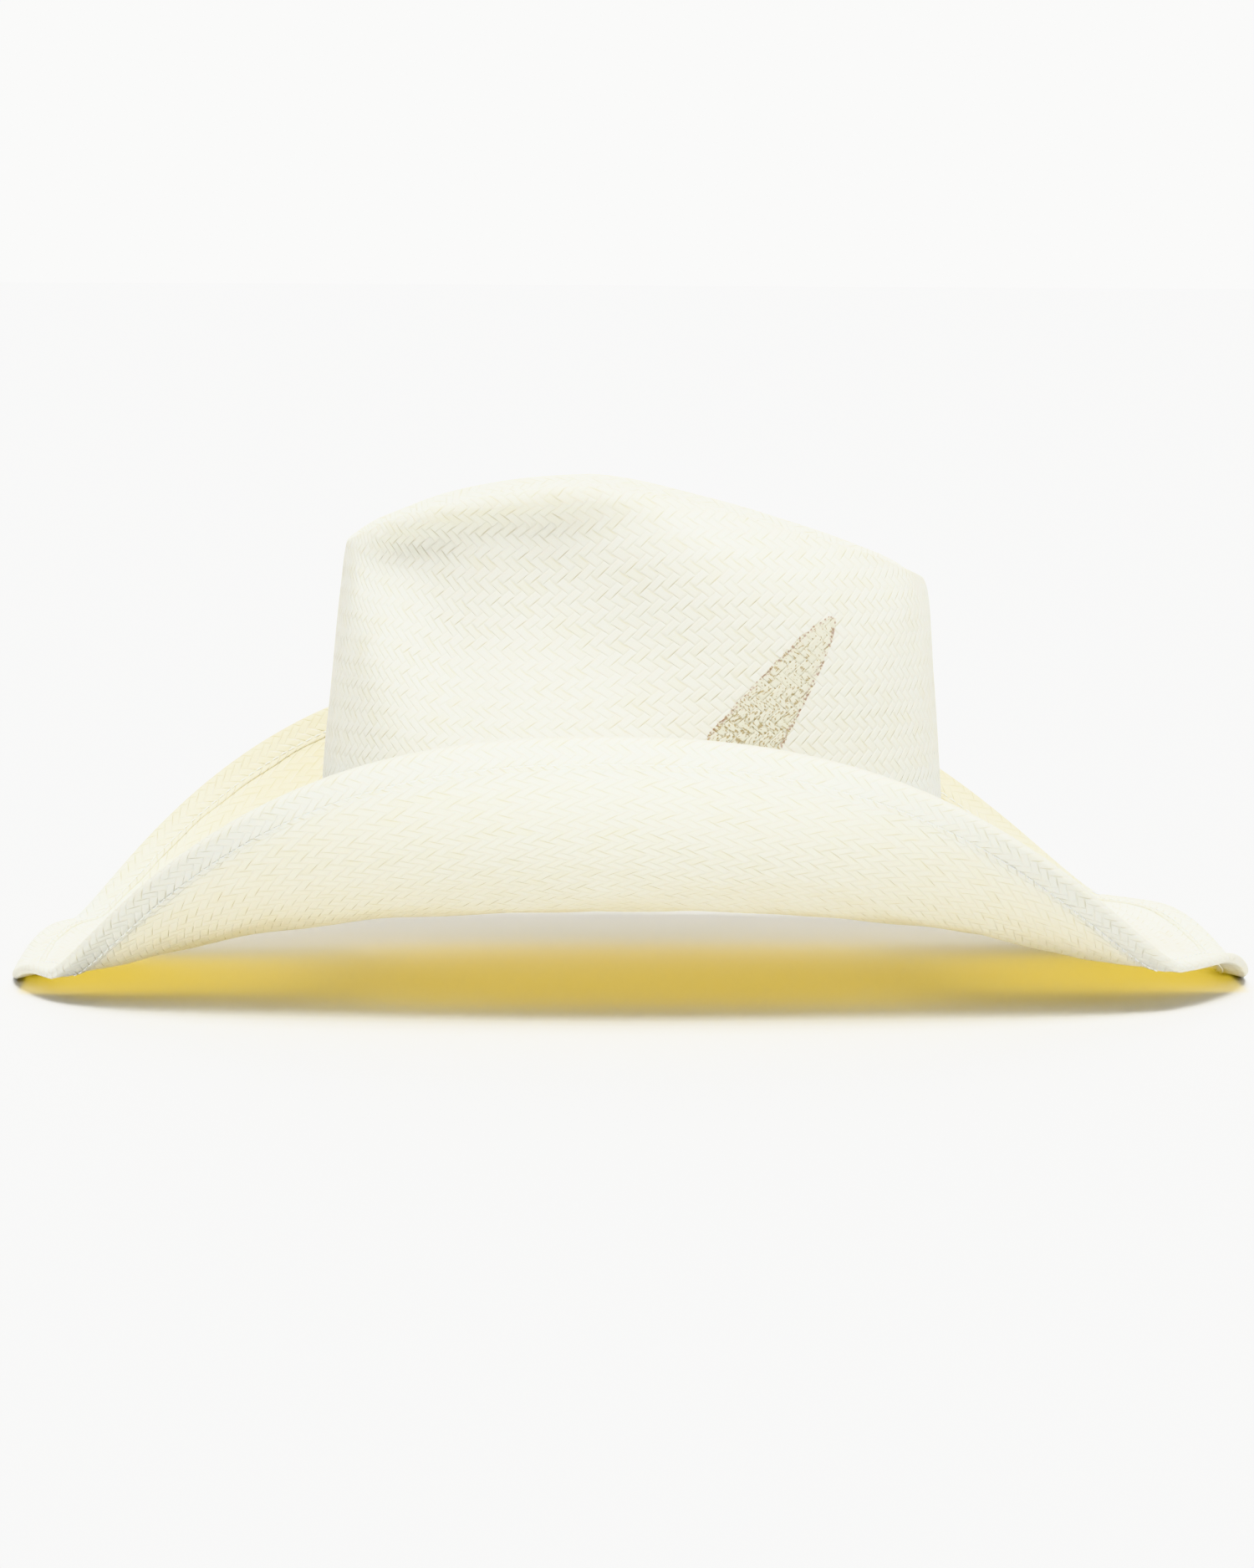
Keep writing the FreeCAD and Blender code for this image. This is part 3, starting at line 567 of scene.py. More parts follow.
def straw_material(name, printed, thinness):
    """Bleached woven straw that passes a share of the light, called its thinness."""
    paint = Paint(name, Specular_IOR_Level=0.42, Sheen_Weight=0.12, Sheen_Roughness=0.4)
    u, v = paint.weave_uv()
    sway = paint.noise(paint.place, 55.0, 2.0)
    height, chance, across, along, straw_chance = twill(paint, u + (sway - 0.5) * 0.22, v)
    fibres = paint.noise(paint.joined(across * 3.5 + chance * 40.0, along * 0.9, chance * 7.0),
                         2.6, 3.0, 0.6)
    patches = paint.noise(paint.place, 16.0, 3.0)
    pale = paint.blend(patches, PALE_STRAW, PALER_STRAW)
    creamy = paint.blend(paint.ramp(straw_chance, 0.55, 1.0, 0.0, 0.3), pale, CREAMY_STRAW)
    streaky = paint.blend(paint.ramp(fibres, 0.35, 0.7), creamy, STREAK)
    toned = paint.blend(paint.ramp(chance, 0.7, 1.0, 0.0, 0.25), streaky, TONED_STRAW)
    middle = 1.0 - size_of(along * 2.0 - 1.0) ** 2.0
    # Painted shade on one edge of each straw, over its dark gap, and a painted highlight on the
    # other edge, as if each straw were lit from one side
    shade_edge = paint.ramp(across, 0.55, 0.95) * middle * paint.ramp(chance, 0.1, 0.9, 0.15, 0.6)
    glint_edge = paint.ramp(across, -0.5, -0.85) * middle * paint.ramp(chance, 0.9, 0.2, 0.1, 0.6)
    # Painted backlight: the far side of the hat is tinted warm yellow, as if lit through the straw
    # from behind
    far_side = paint.ramp(paint.split(paint.place)[1], 0.06, 0.13, 0.0, 0.5)
    painted_backlight = paint.blend(far_side, toned, BACKLIT_STRAW_TINT)
    shaded = paint.blend(shade_edge, painted_backlight, GAP_AND_SHADE)
    colour = paint.blend(glint_edge, shaded, GLINT)
    if printed:
        shown, outline, from_tip = feather_print(paint)
        dots, dot_chance = paint.cells(paint.place, 1100.0)
        strokes = paint.noise(paint.joined(across * 1.2 + chance * 9.0, along * 2.0), 1.7, 3.0, 0.6)
        tint = paint.blend(shown * 0.36, colour, (0.60, 0.60, 0.44))
        crowded = paint.ramp(from_tip, 4.0, 50.0, 0.57, 0.52)
        marks = shown * paint.ramp(strokes, crowded, crowded + 0.05)
        marked = paint.blend(marks * 0.85, tint, FEATHER_INK)
        dotted = outline * paint.ramp(dots, 0.62, 0.4) * (dot_chance < 0.85)
        colour = paint.blend(dotted * 0.85, marked, OUTLINE_INK)
    normal = paint.bump(height + fibres * 0.2, 0.2)
    roughness = paint.ramp(height, 0.0, 0.8, 0.62, 0.5)
    material = paint.finish(colour, roughness)
    glow = paint.node("ShaderNodeBsdfTranslucent")
    glow.inputs["Color"].default_value = (*STRAW_GLOW, 1)
    paint.put(glow.inputs["Normal"], normal)
    both = paint.node("ShaderNodeMixShader")
    both.inputs[0].default_value = thinness
    paint.put(both.inputs[1], paint.shader.outputs[0])
    paint.put(both.inputs[2], glow.outputs[0])
    paint.put(paint.output.inputs[0], both.outputs[0])
    return material


def leather_material(name, light, dark, grain=2600.0):
    paint = Paint(name, Specular_IOR_Level=0.4, Sheen_Weight=0.1)
    pores, cell_chance = paint.cells(paint.place, grain)
    folds = paint.noise(paint.place, 420.0, 4.0, 0.6)
    patches = paint.noise(paint.place, 38.0, 4.0, 0.6)
    skin = paint.blend(paint.ramp(patches, 0.3, 0.7), light, dark)
    mottled = paint.blend(paint.ramp(cell_chance, 0.4, 1.0, 0.0, 0.25), skin, dark)
    colour = paint.blend(paint.ramp(pores, 0.25, 0.0, 0.0, 0.35), mottled, [0.5 * c for c in dark])
    paint.bump(paint.ramp(pores, 0.0, 0.6) * 0.6 + folds, 0.12)
    return paint.finish(colour, paint.ramp(folds, 0.3, 0.7, 0.48, 0.68))


def thread_material(name, light, dark):
    """Two plies twisted together; the UVs give millimetres along the thread and the turn."""
    paint = Paint(name, Specular_IOR_Level=0.4, Sheen_Weight=0.25)
    along, turn = paint.weave_uv()
    twist = size_of(fract(along * 1.1 + turn * 2.0) * 2.0 - 1.0)
    wear = paint.noise(paint.place, 260.0, 3.0)
    colour = paint.blend(twist, light, dark)
    colour = paint.blend(paint.ramp(wear, 0.5, 0.8, 0.0, 0.4), colour, dark)
    paint.bump(1.0 - twist ** 2.0, 0.09)
    return paint.finish(colour, paint.ramp(wear, 0.3, 0.7, 0.5, 0.7))


def cloth_material(name, light, dark, pitch, ribs=1.0):
    """Plain woven cloth; the UVs are millimetres. With more ribs the weft stands out."""
    paint = Paint(name, Specular_IOR_Level=0.45, Sheen_Weight=0.3, Sheen_Roughness=0.35)
    u, v = paint.weave_uv()
    warp = size_of(fract(u / (pitch * ribs)) * 2.0 - 1.0)
    weft = size_of(fract(v / pitch) * 2.0 - 1.0)
    over = paint.math("MAXIMUM", 1.0 - warp ** 2.0, (1.0 - weft ** 2.0) * 0.7)
    patches = paint.noise(paint.place, 90.0, 3.0)
    colour = paint.blend(over, dark, light)
    colour = paint.blend(paint.ramp(patches, 0.5, 0.8, 0.0, 0.3), colour, dark)
    paint.bump(over, pitch * 0.3)
    return paint.finish(colour, paint.ramp(over, 0.0, 1.0, 0.75, 0.5))


def metal_material(name, light, dark, streaks):
    paint = Paint(name, Metallic=1.0)
    x, y, z = paint.split(paint.place)
    drawn = paint.noise(paint.joined(x * 0.05, y * 0.05, z), streaks, 3.0)
    stain = paint.noise(paint.place, 130.0, 4.0)
    colour = paint.blend(paint.ramp(stain, 0.45, 0.75), light, dark)
    paint.bump(drawn, 0.03)
    return paint.finish(colour, paint.ramp(drawn, 0.3, 0.7, 0.28, 0.5))


def reed_material(name):
    paint = Paint(name, Specular_IOR_Level=0.5)
    x, y, z = paint.split(paint.place)
    drawn = paint.noise(paint.joined(x, y, z * 8.0), 300.0, 3.0)
    colour = paint.blend(drawn, (0.70, 0.62, 0.48), (0.82, 0.75, 0.62))
    paint.bump(drawn, 0.05)
    return paint.finish(colour, paint.ramp(drawn, 0.3, 0.7, 0.4, 0.6))


straw_cloth = straw_material("woven_straw", True, 0.27)
band_cloth = straw_material("woven_straw_band", False, 0.3)
cream_thread = thread_material("cream_thread", (0.93, 0.93, 0.87), (0.80, 0.79, 0.70))
tan_thread = thread_material("tan_thread", (0.70, 0.58, 0.38), (0.42, 0.32, 0.18))
sweat_leather = leather_material("sweatband_leather", (0.74, 0.60, 0.42), (0.58, 0.42, 0.26))
strap_leather = leather_material("hatband_leather", (0.46, 0.31, 0.18), (0.33, 0.20, 0.10), 1900.0)
tape_cloth = cloth_material("seam_tape", (0.80, 0.75, 0.62), (0.55, 0.48, 0.34), 0.5)
ribbon_cloth = cloth_material("bow_ribbon", (0.34, 0.25, 0.16), (0.16, 0.11, 0.06), 0.42, 0.8)
tab_cloth = cloth_material("blank_tab", (0.88, 0.87, 0.83), (0.70, 0.68, 0.62), 0.22, 2.0)
steel = metal_material("spring_wire", (0.60, 0.60, 0.61), (0.38, 0.36, 0.34), 2500.0)
brass = metal_material("crimp_sleeve", (0.76, 0.60, 0.30), (0.50, 0.37, 0.17), 1800.0)
reed_plastic = reed_material("reed_plastic")


# --- the straw --------------------------------------------------------------------------

CROWN_TURNS, BRIM_TURNS = 140, 207       # straws counted round the crown and the brim
STRAW_PITCH, CROWN_ROW, BRIM_ROW = 4.0, 3.6, 2.7
MIDDLE_GAP = 0.05      # each half of the crown stays this far from the middle plane
CREASE_END = 0.06      # the crease's inner line ends this far, in radians, before the middle


def ripple(angle, place):
    """Small unevenness of a hand-shaped hat, in millimetres."""
    return (0.5 * np.sin(3 * angle + 9 * place + 0.7) * np.sin(5 * angle - 4 * place)
            + 0.3 * np.sin(11 * angle + 14 * place) + 0.2 * np.sin(17 * angle - 21 * place + 1.9))


def crown_soft(angle, w):
    """The crown with its small unevenness, which fades out at the hatband and the crease."""
    point = crown_point(angle, w)
    fade = ease(w, CONE_PLACE, CONE_PLACE + 0.4 / 3) * (1 - ease(w, 0.8, 1.0))
    if fade == 0:
        return point
    out = unit(point * [1, 1, 0.35] - [0, 0, 0.35 * 90])
    return point + out * (0.7 * fade * ripple(angle, w))[..., None]


def brim_soft(angle, u):
    point = brim_point(angle, u)
    fade = ease(u, 0.12, 0.4) * (1 - ease(u, 0.8, 1.0))
    return point + vec(0, 0, 0.9 * fade * ripple(angle, 1.6 * u + 0.4))


def build_straw():
    half = np.linspace(0, np.pi, 151)
    angle = np.concatenate([half, half[1:] + np.pi])
    wall_places = np.concatenate([np.linspace(0.035, CONE_PLACE, 9)[:-1],
                                  np.linspace(CONE_PLACE, TOP_PLACE, 58)])
    top_places = np.linspace(TOP_PLACE, 1.0, 20)
    brim_places = np.linspace(0.0, 0.975, 44)
    side = np.sign(np.round(np.sin(angle), 9))

    def settle(point):
        """Keeps both halves on their own side of the middle plane."""
        point[:, 1] = side * np.maximum(side * point[:, 1], MIDDLE_GAP)
        return point

    def crown_inner(w):
        if w == 1.0:
            half_turn = np.where(angle <= np.pi, 0, np.pi)
            near = np.clip(angle - half_turn, CREASE_END, np.pi - CREASE_END) + half_turn
            inner = crown_point(angle, 1.0) - face_normal(crown_point, near, 1.0, 2.0) * STRAW
            inner[:, 1] = 0
            return inner
        if w == 0.0:
            wall = face_normal(crown_point, angle, 0.0)
            brim = face_normal(brim_point, angle, 1.0)
            both = wall + brim
            lean = 1 + np.sum(wall * brim, axis=-1, keepdims=True)
            return settle(base_point(angle) - both * STRAW / lean)
        return settle(crown_soft(angle, w) - face_normal(crown_soft, angle, w, 2.0) * STRAW)

    def rounded_fold(above, corner, below):
        return [above * (1 - t) ** 2 + corner * 2 * t * (1 - t) + below * t * t
                for t in np.linspace(0, 1, 6)]

    def weave(points, turns, row):
        """Places in the weave: straws round the hat, and rows up or out from the first."""
        return pairs(angle / (2 * np.pi) * turns, lengths_along(points) / row)

    straw = Mesher()
    for inner in (False, True):
        def crown(w):
            if inner:
                return crown_inner(w)
            return settle(crown_soft(angle, w)) if w < 1 else crown_point(angle, w) * [1, 0, 1]

        def brim(u):
            point = brim_soft(angle, u)
            return settle(point - face_normal(brim_soft, angle, u) * STRAW if inner else point)

        top = np.array([crown(w) for w in top_places])
        straw.grid(top, pairs(top[..., 0] / STRAW_PITCH, top[..., 1] / CROWN_ROW))
        wall = np.array([crown(w) for w in wall_places])
        straw.grid(wall, weave(wall, CROWN_TURNS, CROWN_ROW))
        outward = np.array([brim(u) for u in brim_places[::-1]])
        corner = crown_inner(0.0) if inner else base_point(angle)
        fold = np.array(rounded_fold(wall[0], corner, outward[0]))
        straw.grid(fold, weave(fold, BRIM_TURNS, BRIM_ROW))
        straw.grid(outward, weave(outward, BRIM_TURNS, BRIM_ROW))
        if inner:
            edge = np.array([outer_edge, outward[-1]])
            straw.grid(edge, weave(outward[:2], BRIM_TURNS, BRIM_ROW) * [1, 0])
        outer_edge = outward[-1]
    add_piece(straw, "straw", straw_cloth, "straw", "straw_body")


build_straw()


# --- the wired edge ---------------------------------------------------------------------

# One stitch at seven places: how far along it, as shares of the pitch, how thick, and how
# deep it sinks in.
STITCH_ALONG = np.array([-0.42, -0.36, -0.2, 0.0, 0.2, 0.36, 0.42])
STITCH_THICK = np.array([0, 0.7, 0.96, 1, 0.96, 0.7, 0])
STITCH_SINK = np.array([1, 0.7, 0.12, 0, 0.12, 0.7, 1])
EDGE_STITCH = 3.5      # millimetres from one stitch to the next
SEAM_LIFT = 1.16       # the band's outer face from the straw's middle, at the stitches
INNER_LIFT = 0.76      # and its inner face, clear of the straw
NOSE_OUT, NOSE_IN = 1.6, 1.12              # the fold's radii round the wire


def stitch_line(angle):
    middle, _, _ = edge_frame(angle, STITCH_INSET)
    return middle


def build_edge_band():
    """A strip of straw cloth folded over the wire, dented at every stitch."""
    length = equal_steps(stitch_line, 2)[1]
    stitches = round(length / EDGE_STITCH)
    columns = stitches * 4 + 1
    angle, _ = equal_steps(stitch_line, columns)
    count = np.arange(columns) / 4
    dent = 0.5 + 0.5 * np.cos(2 * np.pi * count)
    insets = [7.0, 6.9, 6.5, 5.9, STITCH_INSET, 4.5, 3.6, 2.5, 1.4, 0.5]
    lifts = [0.78, 1.1, 1.32, 1.28, SEAM_LIFT, 1.3, 1.4, 1.42, 1.34, 1.4]
    uneven = 0.22 * np.sin(23 * angle) + 0.15 * np.sin(57 * angle + 1.0)
    frames = [edge_frame(angle, inset + uneven * (inset > 5.5)) for inset in insets]
    outer, inner = [], []
    for sign in (1, -1):
        faces = [], []
        for inset, lift, (middle, _, up) in zip(insets, lifts, frames):
            pinch = 0.16 * dent * math.exp(-((inset - STITCH_INSET) / 0.8) ** 2)
            puff = 0.05 * np.sin(31 * angle + sign + inset)
            faces[0].append(middle + up * (sign * (lift - pinch + puff))[:, None])
            faces[1].append(middle + up * (sign * min(INNER_LIFT, lift - 0.07)))
        outer.append(faces[0])
        inner.append(faces[1])
    middle, inward, up = edge_frame(angle)
    centre = middle - inward * WIRE_OFFSET
    turns = np.radians(np.linspace(72, -72, 11))
    rays = [up * math.sin(t) - inward * math.cos(t) for t in turns]
    nose_out, nose_in = ([centre + ray * radius for ray in rays] for radius in (NOSE_OUT, NOSE_IN))
    section = (outer[0] + nose_out + outer[1][::-1]
               + inner[1] + nose_in[::-1] + inner[0][::-1])
    section = np.array(section + section[:1])
    around = count * EDGE_STITCH / STRAW_PITCH
    around = around * round(around[-1]) / around[-1]
    band = Mesher()
    band.grid(section, pairs(around, lengths_along(section) / 3.0))
    add_piece(band, "edge_fold", band_cloth, "straw_band", "edge_band")

    threads = Mesher()
    starts, _ = equal_steps(stitch_line, stitches + 1)
    step = np.diff(starts)
    radii = np.array([0, 0.2, 0.27, 0.28, 0.27, 0.2, 0])
    sink = np.array([0.5, 0.34, 0.06, 0.0, 0.06, 0.34, 0.5])
    angles = starts[:-1, None] + step[:, None] * (0.5 + STITCH_ALONG)
    middle, _, up = edge_frame(angles.reshape(-1), STITCH_INSET)
    middle, up = (a.reshape(*angles.shape, 3) for a in (middle, up))
    for sign in (1, -1):
        lift = sign * (SEAM_LIFT + 0.2 - sink)
        threads.tubes(middle + up * lift[:, None], up, radii)
    add_piece(threads, "edge_stitches", cream_thread, "thread", "edge_stitching")


build_edge_band()


# --- strips round the crown's lower wall ------------------------------------------------

def strip_section(low, high, inside, outside, radius, rows=15):
    """A closed outline of a strip as pairs (height, offset), with rounded long edges."""
    middle = (inside + outside) / 2
    half = (outside - inside) / 2
    radius = min(radius, half)
    heights = np.linspace(low + radius, high - radius, rows)
    turns = [(radius * math.sin(t), half * math.cos(t)) for t in np.linspace(0, np.pi, 7)[1:-1]]
    outline = [(h, outside) for h in heights]
    outline += [(high - radius + rise, middle + out) for rise, out in turns]
    outline += [(h, inside) for h in heights[::-1]]
    outline += [(low + radius - rise, middle - out) for rise, out in turns]
    return np.array(outline + outline[:1])


def wall_strip(outline, gap, change, columns=480):
    """Sweeps an outline round the wall; change(angle, height, offset) may shift its points."""
    angle = np.linspace(gap / 2, 2 * np.pi - gap / 2, columns)
    points = np.array([on_wall(angle, *change(angle, *place)) for place in outline])
    strip = Mesher()
    strip.grid(points, pairs(lengths_along(points[0]), lengths_along(points[:, 0])[:, None]))
    strip.caps(points)
    return strip


def wall_stitches(height, offset, pitch, slant=0.0, sunk=0.3, radius=0.28, start=0.03):
    """A row of separate stitches on the wall, as paths, upward directions and radii."""
    def line(angle):
        return on_wall(angle, height, offset)

    length = equal_steps(line, 2)[1]
    starts, _ = equal_steps(line, round(length / pitch) + 1)
    starts = starts[(starts > start) & (starts < 2 * np.pi - start - pitch / 90)]
    step = pitch / length * 2 * np.pi
    angles = starts[:, None] + step * (0.5 + STITCH_ALONG)
    turn = np.where(np.arange(len(starts)) % 2 == 0, slant, -slant)[:, None]
    zigzag = turn * STITCH_ALONG / STITCH_ALONG[-1]
    out = math.copysign(1, offset)
    points = on_wall(angles, height + zigzag, offset - out * sunk * STITCH_SINK)
    normal = unit(points * [1 / BASE_LENGTH ** 2, 1 / BASE_WIDTH ** 2, 0] * out)
    return points, normal, radius * STITCH_THICK


SWEAT_LOW, SWEAT_HIGH = 1.0, 34.0          # its edges over the base line
SWEAT_SEAM, SWEAT_CREASE = 4.0, 31.0       # its stitches, and the pressed line near its top


def closeness(height, line, width):
    """1 on a line and less away from it."""
    return math.exp(-((height - line) / width) ** 2)


def build_sweatband():
    """A leather strip, puckered by its stitches, with a pressed line and a slight sag."""
    def change(angle, height, offset):
        inner = offset < (SWEAT_OUT + SWEAT_IN) / 2
        pucker = 0.16 * np.sin(190 * angle) * closeness(height, SWEAT_SEAM, 3.5) * inner
        crease = 0.22 * closeness(height, SWEAT_CREASE, 0.35) * inner
        wave = 0.35 * np.sin(6 * angle + 0.5) * (height / SWEAT_HIGH) ** 2
        sag = 0.25 * np.sin(4 * angle) * (height > 30)
        return height + sag, offset + pucker + crease - abs(wave) * 0.8

    outline = strip_section(SWEAT_LOW, SWEAT_HIGH, SWEAT_IN, SWEAT_OUT, 0.6, rows=30)
    strip = wall_strip(outline, 1.5 / 99, change, 720)
    add_piece(strip, "sweatband_strip", sweat_leather, "sweatband_leather", "sweatband")

    threads = Mesher()
    threads.tubes(*wall_stitches(SWEAT_SEAM, SWEAT_IN - 0.1, 3.0, slant=0.9))
    add_piece(threads, "sweatband_stitches", cream_thread, "thread", "sweatband_stitching")


def wall_patch(angle_at, height_at, inside, thickness, width, height, corner=0.0, curl=0.0):
    """A small cloth patch on the sweatband's inner face, with corners drawn in or curled."""
    a, b = np.meshgrid(np.linspace(-1, 1, 14), np.linspace(-1, 1, 18))
    pull = 1 - corner * np.abs(a * b) ** 6
    x, h = a * width / 2 * pull, b * height / 2 * pull
    middle = on_wall(np.array([angle_at]), height_at, inside)[0]
    tangent = on_wall(np.array([angle_at + 0.001]), height_at, inside)[0] - middle
    per_angle = np.linalg.norm(tangent) / 0.001
    lift = curl * (a ** 2 + b ** 2) ** 2
    faces = [on_wall(angle_at + x / per_angle, height_at + h, inside - lift - shift)
             for shift in (0.0, thickness)]
    patch = Mesher()
    for face in faces:
        patch.grid(face, pairs(x, h))
    for rows in ([f[0] for f in faces], [f[-1] for f in faces],
                 [f[:, 0] for f in faces], [f[:, -1] for f in faces]):
        patch.grid(np.array(rows))
    return patch


def build_sweatband_trim():
    """The tape over the sweatband's joint, its two rows of stitches, and the blank tab."""
    tape = wall_patch(0.0, 19.0, SWEAT_IN - 0.45, 0.4, 12, 24)
    face_outwards(add_piece(tape, "seam_tape", tape_cloth, "tape", "sweatband_seam_tape"))
    threads = Mesher()
    along = np.array([-1.1, -0.95, -0.5, 0.0, 0.5, 0.95, 1.1])
    heights = np.arange(8.5, 29.5, 2.6)[:, None] + along
    for side in (-1, 1):
        points = on_wall(side * 5.0 / 70.5, heights, SWEAT_IN - 0.95 + 0.25 * STITCH_SINK)
        normal = np.broadcast_to([-1.0, 0.0, 0.0], points.shape)
        threads.tubes(points, normal, 0.2 * STITCH_THICK)
    add_piece(threads, "tape_stitches", tan_thread, "thread")

    tab = wall_patch(math.radians(-55), 24.0, SWEAT_IN - 0.5, 0.25, 16, 11, 0.05, 0.12)
    face_outwards(add_piece(tab, "blank_tab", tab_cloth, "tab", "size_tab"))


KNOT_HALF = 3.1        # half the height of the bow's knot


def build_bow():
    """A ribbon bow at the back of the sweatband: two loops, a knot and two short tails."""
    origin = on_wall(np.array([0.0]), 12.0, SWEAT_IN - 3.1)[0]
    turns = np.linspace(0, 2 * np.pi, 41)
    bow = Mesher()

    def ribbon(middle, normal, half_width, half_thickness=0.2):
        """A flat ribbon along a path of (y, depth, rise), its width along Z."""
        y, depth, rise = middle
        points = np.array([vec(origin[0] - depth - layer * normal[1] * half_thickness,
                               y + layer * normal[0] * half_thickness,
                               origin[2] + rise + edge * half_width)
                           for edge, layer in ((1, 1), (1, -1), (-1, -1), (-1, 1), (1, 1))])
        across = np.array([3.0, 3.0, -3.0, -3.0, 3.0])
        bow.grid(points, pairs(lengths_along(points[0]), across[:, None]))
        bow.caps(points)

    for side in (-1, 1):
        reach = 0.5 - 0.5 * np.cos(turns)
        y = side * (0.9 + 9.2 * reach)
        depth = 1.25 * np.sin(turns) * (0.35 + 0.65 * reach)
        rise = 0.32 * reach * side
        ahead_y, ahead_depth = np.gradient(y), np.gradient(depth)
        length = np.hypot(ahead_y, ahead_depth) + 1e-9
        half_width = 1.9 + 1.1 * reach ** 0.7
        ribbon((y, depth, rise), (-ahead_depth / length, ahead_y / length), half_width)
        down = np.linspace(0, 1, 12)
        y = side * (0.6 + 6.5 * down)
        depth = -0.9 + 0.35 * np.sin(5 * down)
        rise = -1.0 - 6.5 * down
        ribbon((y, depth, rise), (0.0, 1.0), 1.5 + 0.9 * down)
    knot_turns = np.linspace(0, 2 * np.pi, 25)
    rise = np.linspace(-KNOT_HALF, KNOT_HALF, 11)[:, None]
    swell = (1 - (rise / KNOT_HALF) ** 2) ** 0.25 * (1 + 0.06 * np.sin(9 * knot_turns))
    knot = vec(origin[0] + 1.55 * swell * np.cos(knot_turns),
               1.5 * swell * np.sin(knot_turns), origin[2] + rise)
    bow.grid(knot, pairs(knot_turns * 1.5, rise))
    face_outwards(add_piece(bow, "ribbon_bow", ribbon_cloth, "ribbon", "sweatband_bow"))


STRAP_MIDDLE, STRAP_HALF = 9.6, 7.0        # over the base line
STRAP_SEAMS = (4.6, 14.6)


def build_hatband():
    """A leather strap with a stitched groove along each edge, its loop and its tacks."""
    def change(angle, height, offset):
        outer = offset > (HATBAND_IN + HATBAND_OUT) / 2
        groove = 0.3 * sum(closeness(height, seam, 0.3) for seam in STRAP_SEAMS) * outer
        swell = 0.25 * (1 - ((height - STRAP_MIDDLE) / STRAP_HALF) ** 2) * outer
        return height + 0.12 * np.sin(9 * angle), offset + swell - groove - 0.1

    outline = strip_section(STRAP_MIDDLE - STRAP_HALF, STRAP_MIDDLE + STRAP_HALF,
                            HATBAND_IN + 0.1, HATBAND_OUT, 0.55, rows=31)
    strap = wall_strip(outline, 1.0 / 101, change, 640)
    add_piece(strap, "hatband_strap", strap_leather, "hatband", "hatband")
    threads = Mesher()
    for seam in STRAP_SEAMS:
        threads.tubes(*wall_stitches(seam, HATBAND_OUT - 0.05, 3.2,
                                     sunk=0.25, radius=0.22, start=0.06))
    add_piece(threads, "hatband_stitches", tan_thread, "thread")

    keeper = Mesher()
    outline = strip_section(1.9, 17.3, HATBAND_OUT + 0.18, HATBAND_OUT + 1.15, 0.5, rows=14)
    angle = np.linspace(-4.5 / 102, 4.5 / 102, 15)
    rows = np.array([on_wall(angle, height, offset + 0.12 * math.cos((height - STRAP_MIDDLE) / 5))
                     for height, offset in outline])
    keeper.grid(rows, pairs(angle * 102, outline[:, :1]))
    keeper.caps(rows)
    face_outwards(add_piece(keeper, "hatband_loop", strap_leather, "hatband", "hatband_keeper"))

    tacks = Mesher()
    across = np.array([-2.0, -1.9, -1.3, 0.0, 1.3, 1.9, 2.0])
    sink = np.array([0.45, 0.2, 0.0, -0.05, 0.0, 0.2, 0.45])
    for degrees in (50, 130, 230, 310):
        for shift in (-0.35, 0.35):
            angle = np.full((1, 7), math.radians(degrees) + shift / 90)
            points = on_wall(angle, STRAP_MIDDLE + across, HATBAND_OUT + 0.45 - sink)
            normal = unit(points * [1, 1.4, 0])
            tacks.tubes(points, normal, 0.3 * np.array([0, 0.7, 1, 1, 1, 0.7, 0]))
    add_piece(tacks, "tack_stitches", tan_thread, "thread", "hatband_tacks")


build_sweatband()
build_sweatband_trim()
build_bow()
build_hatband()

for node, material in (("brim_wire", steel), ("wire_sleeve", brass),
                       ("sweatband_reed", reed_plastic)):
    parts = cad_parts[node]
    for part in parts if isinstance(parts, list) else [parts]:
        for place in part.material_slots:
            place.material = material


# --- floor and light --------------------------------------------------------------------

def make_floor():
    """A wide level floor of pale paper, so far across that its end is never seen."""
    reach = 150.0
    verts = [(x * reach, y * reach, 0.0) for x, y in ((-1, -1), (1, -1), (1, 1), (-1, 1))]
    mesh = bpy.data.meshes.new("floor")
    mesh.from_pydata(verts, [], [(0, 1, 2, 3)])
    paper = Paint("floor_paper", Specular_IOR_Level=0.1)
    mottle = paper.noise(paper.place, 3.0)
    colour = paper.blend(mottle, (0.775, 0.775, 0.77), (0.785, 0.785, 0.78))
    mesh.materials.append(paper.finish(colour, 0.8))
    floor_object = bpy.data.objects.new("floor", mesh)
    bpy.context.collection.objects.link(floor_object)


BACKDROP, FILL = 1.9, 0.47                 # the white seen round the hat, and what it gives


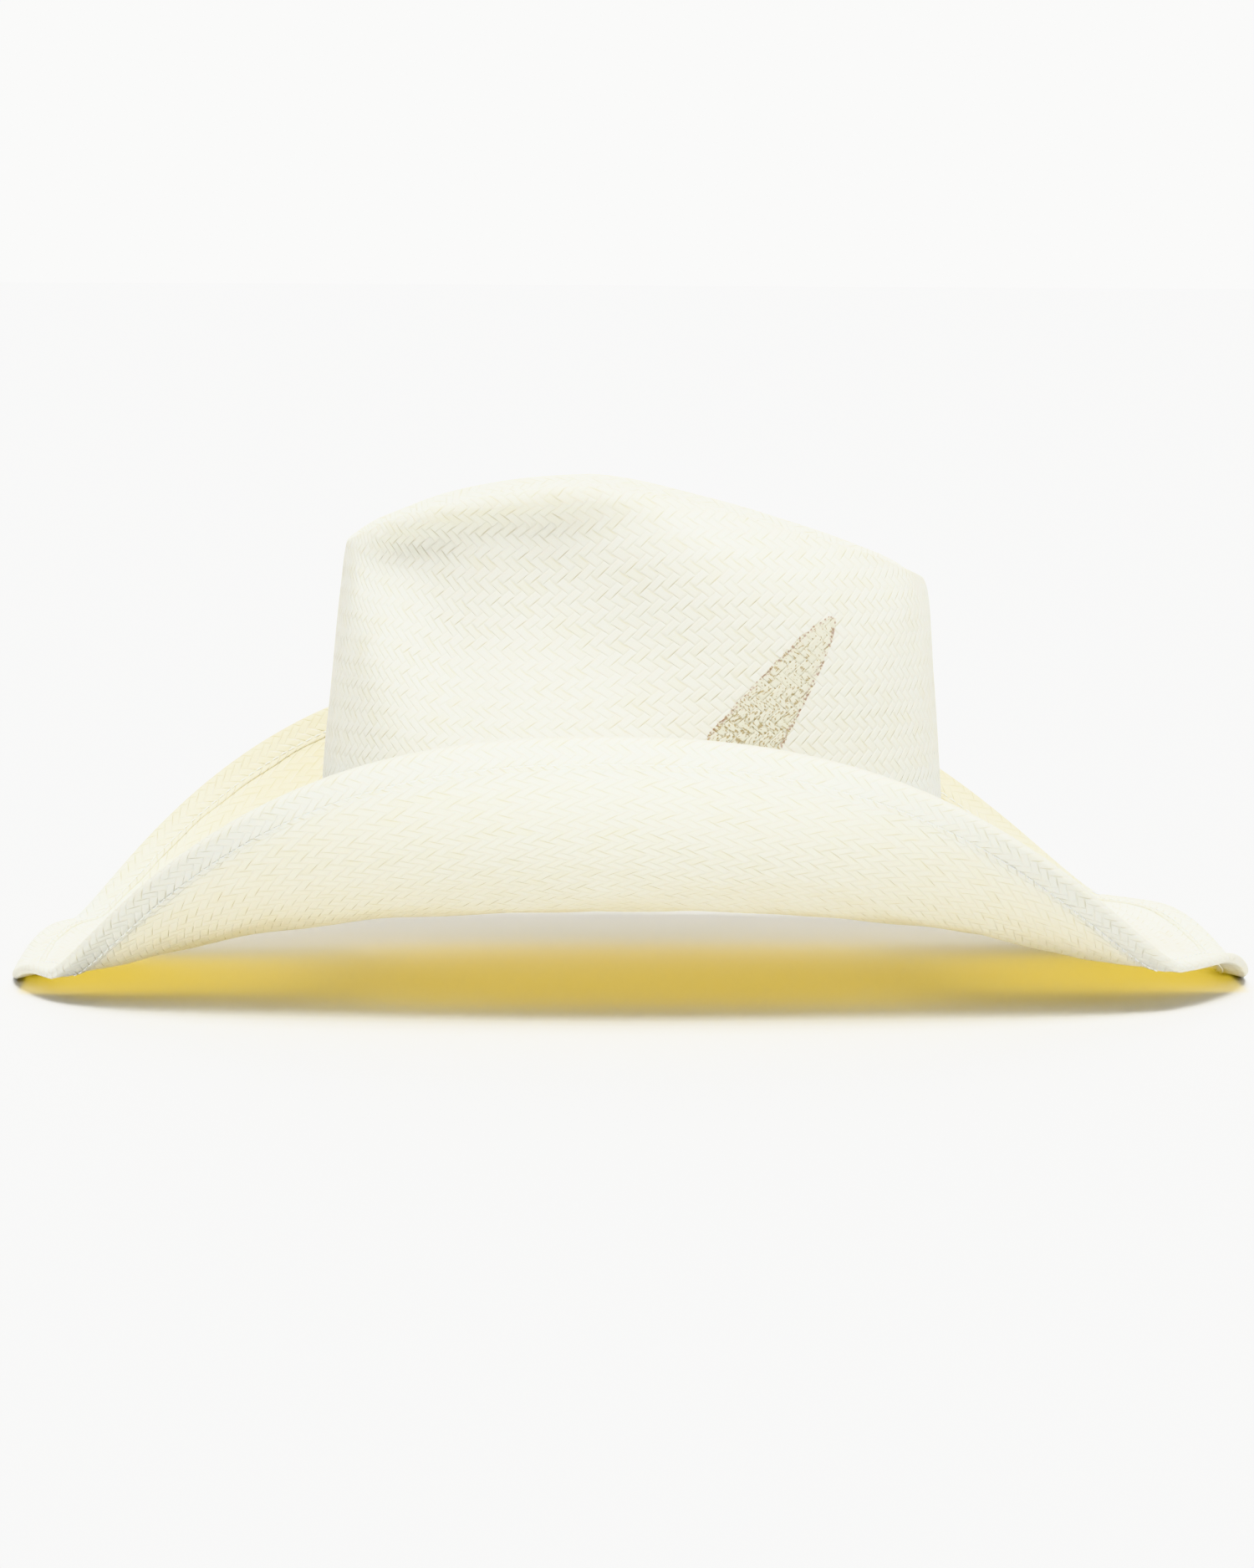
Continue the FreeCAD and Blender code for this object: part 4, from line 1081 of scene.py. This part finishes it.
def make_world():
    """An evenly white studio, which looks brighter than the light that it gives."""
    world = bpy.data.worlds.new("studio")
    world.use_nodes = True
    tree = world.node_tree
    shown = tree.nodes["Background"]
    shown.inputs[0].default_value = (1.0, 1.0, 0.99, 1)
    shown.inputs[1].default_value = BACKDROP
    lighting = tree.nodes.new("ShaderNodeBackground")
    lighting.inputs[0].default_value = (1.0, 1.0, 1.0, 1)
    lighting.inputs[1].default_value = FILL
    both = tree.nodes.new("ShaderNodeMixShader")
    seen = tree.nodes.new("ShaderNodeLightPath")
    tree.links.new(seen.outputs["Is Camera Ray"], both.inputs[0])
    tree.links.new(lighting.outputs[0], both.inputs[1])
    tree.links.new(shown.outputs[0], both.inputs[2])
    tree.links.new(both.outputs[0], tree.nodes["World Output"].inputs[0])
    bpy.context.scene.world = world


def add_lamp(name, kind, turn, place=(0, 0, 0), **settings):
    """A lamp at a place in millimetres, turned from pointing straight down."""
    data = bpy.data.lights.new(name, kind)
    for key, value in settings.items():
        setattr(data, key, value)
    lamp = bpy.data.objects.new(name, data)
    lamp.location = Vector(place) * MM
    lamp.rotation_euler = turn
    bpy.context.collection.objects.link(lamp)
    return lamp


def heading(x, y, z):
    return Vector((x, y, z)).to_track_quat("-Z", "Y").to_euler()


def make_soft_lights():
    """Wide soft light from above, weaker from behind and weakest from the front."""
    add_lamp("key", "SUN", heading(-0.05, 0.38, -1.0), energy=4.4, angle=math.radians(35))
    add_lamp("back", "SUN", heading(0.0, -1.0, -0.6), energy=1.5, angle=math.radians(40))
    add_lamp("front", "SUN", heading(0.0, 1.0, -0.05), energy=0.2, angle=math.radians(40))


def make_front_card():
    """A low strip of light before the hat, aimed up at the outside of the brim's near edge."""
    lamp = add_lamp("front_card", "AREA", heading(0.0, 0.72, 0.69), (0, -255, 13),
                    shape="RECTANGLE", size=460 * MM, size_y=30 * MM,
                    spread=math.radians(60), energy=0.13)
    lamp.visible_camera = False


def make_warm_light():
    """Three weak warm lamps under the brim, for the light that thin straw lets through."""
    for x, height, length, width, tilt, strength in ((-146, 12.5, 98, 90, -14, 0.46),
                                                     (0, 26, 178, 150, 0, 0.5),
                                                     (146, 12.5, 98, 90, 14, 0.46)):
        area = length * width * MM ** 2
        lamp = add_lamp("through_straw", "AREA", (0, math.radians(tilt), 0), (x, 0, height),
                        shape="RECTANGLE", size=length * MM, size_y=width * MM,
                        color=(1.0, 0.73, 0.09), energy=math.pi * area * strength)
        lamp.visible_camera = False


make_floor()
make_world()
make_soft_lights()
make_front_card()
make_warm_light()
view = bpy.context.scene.view_settings
view.view_transform = "Khronos PBR Neutral"
view.look = "None"
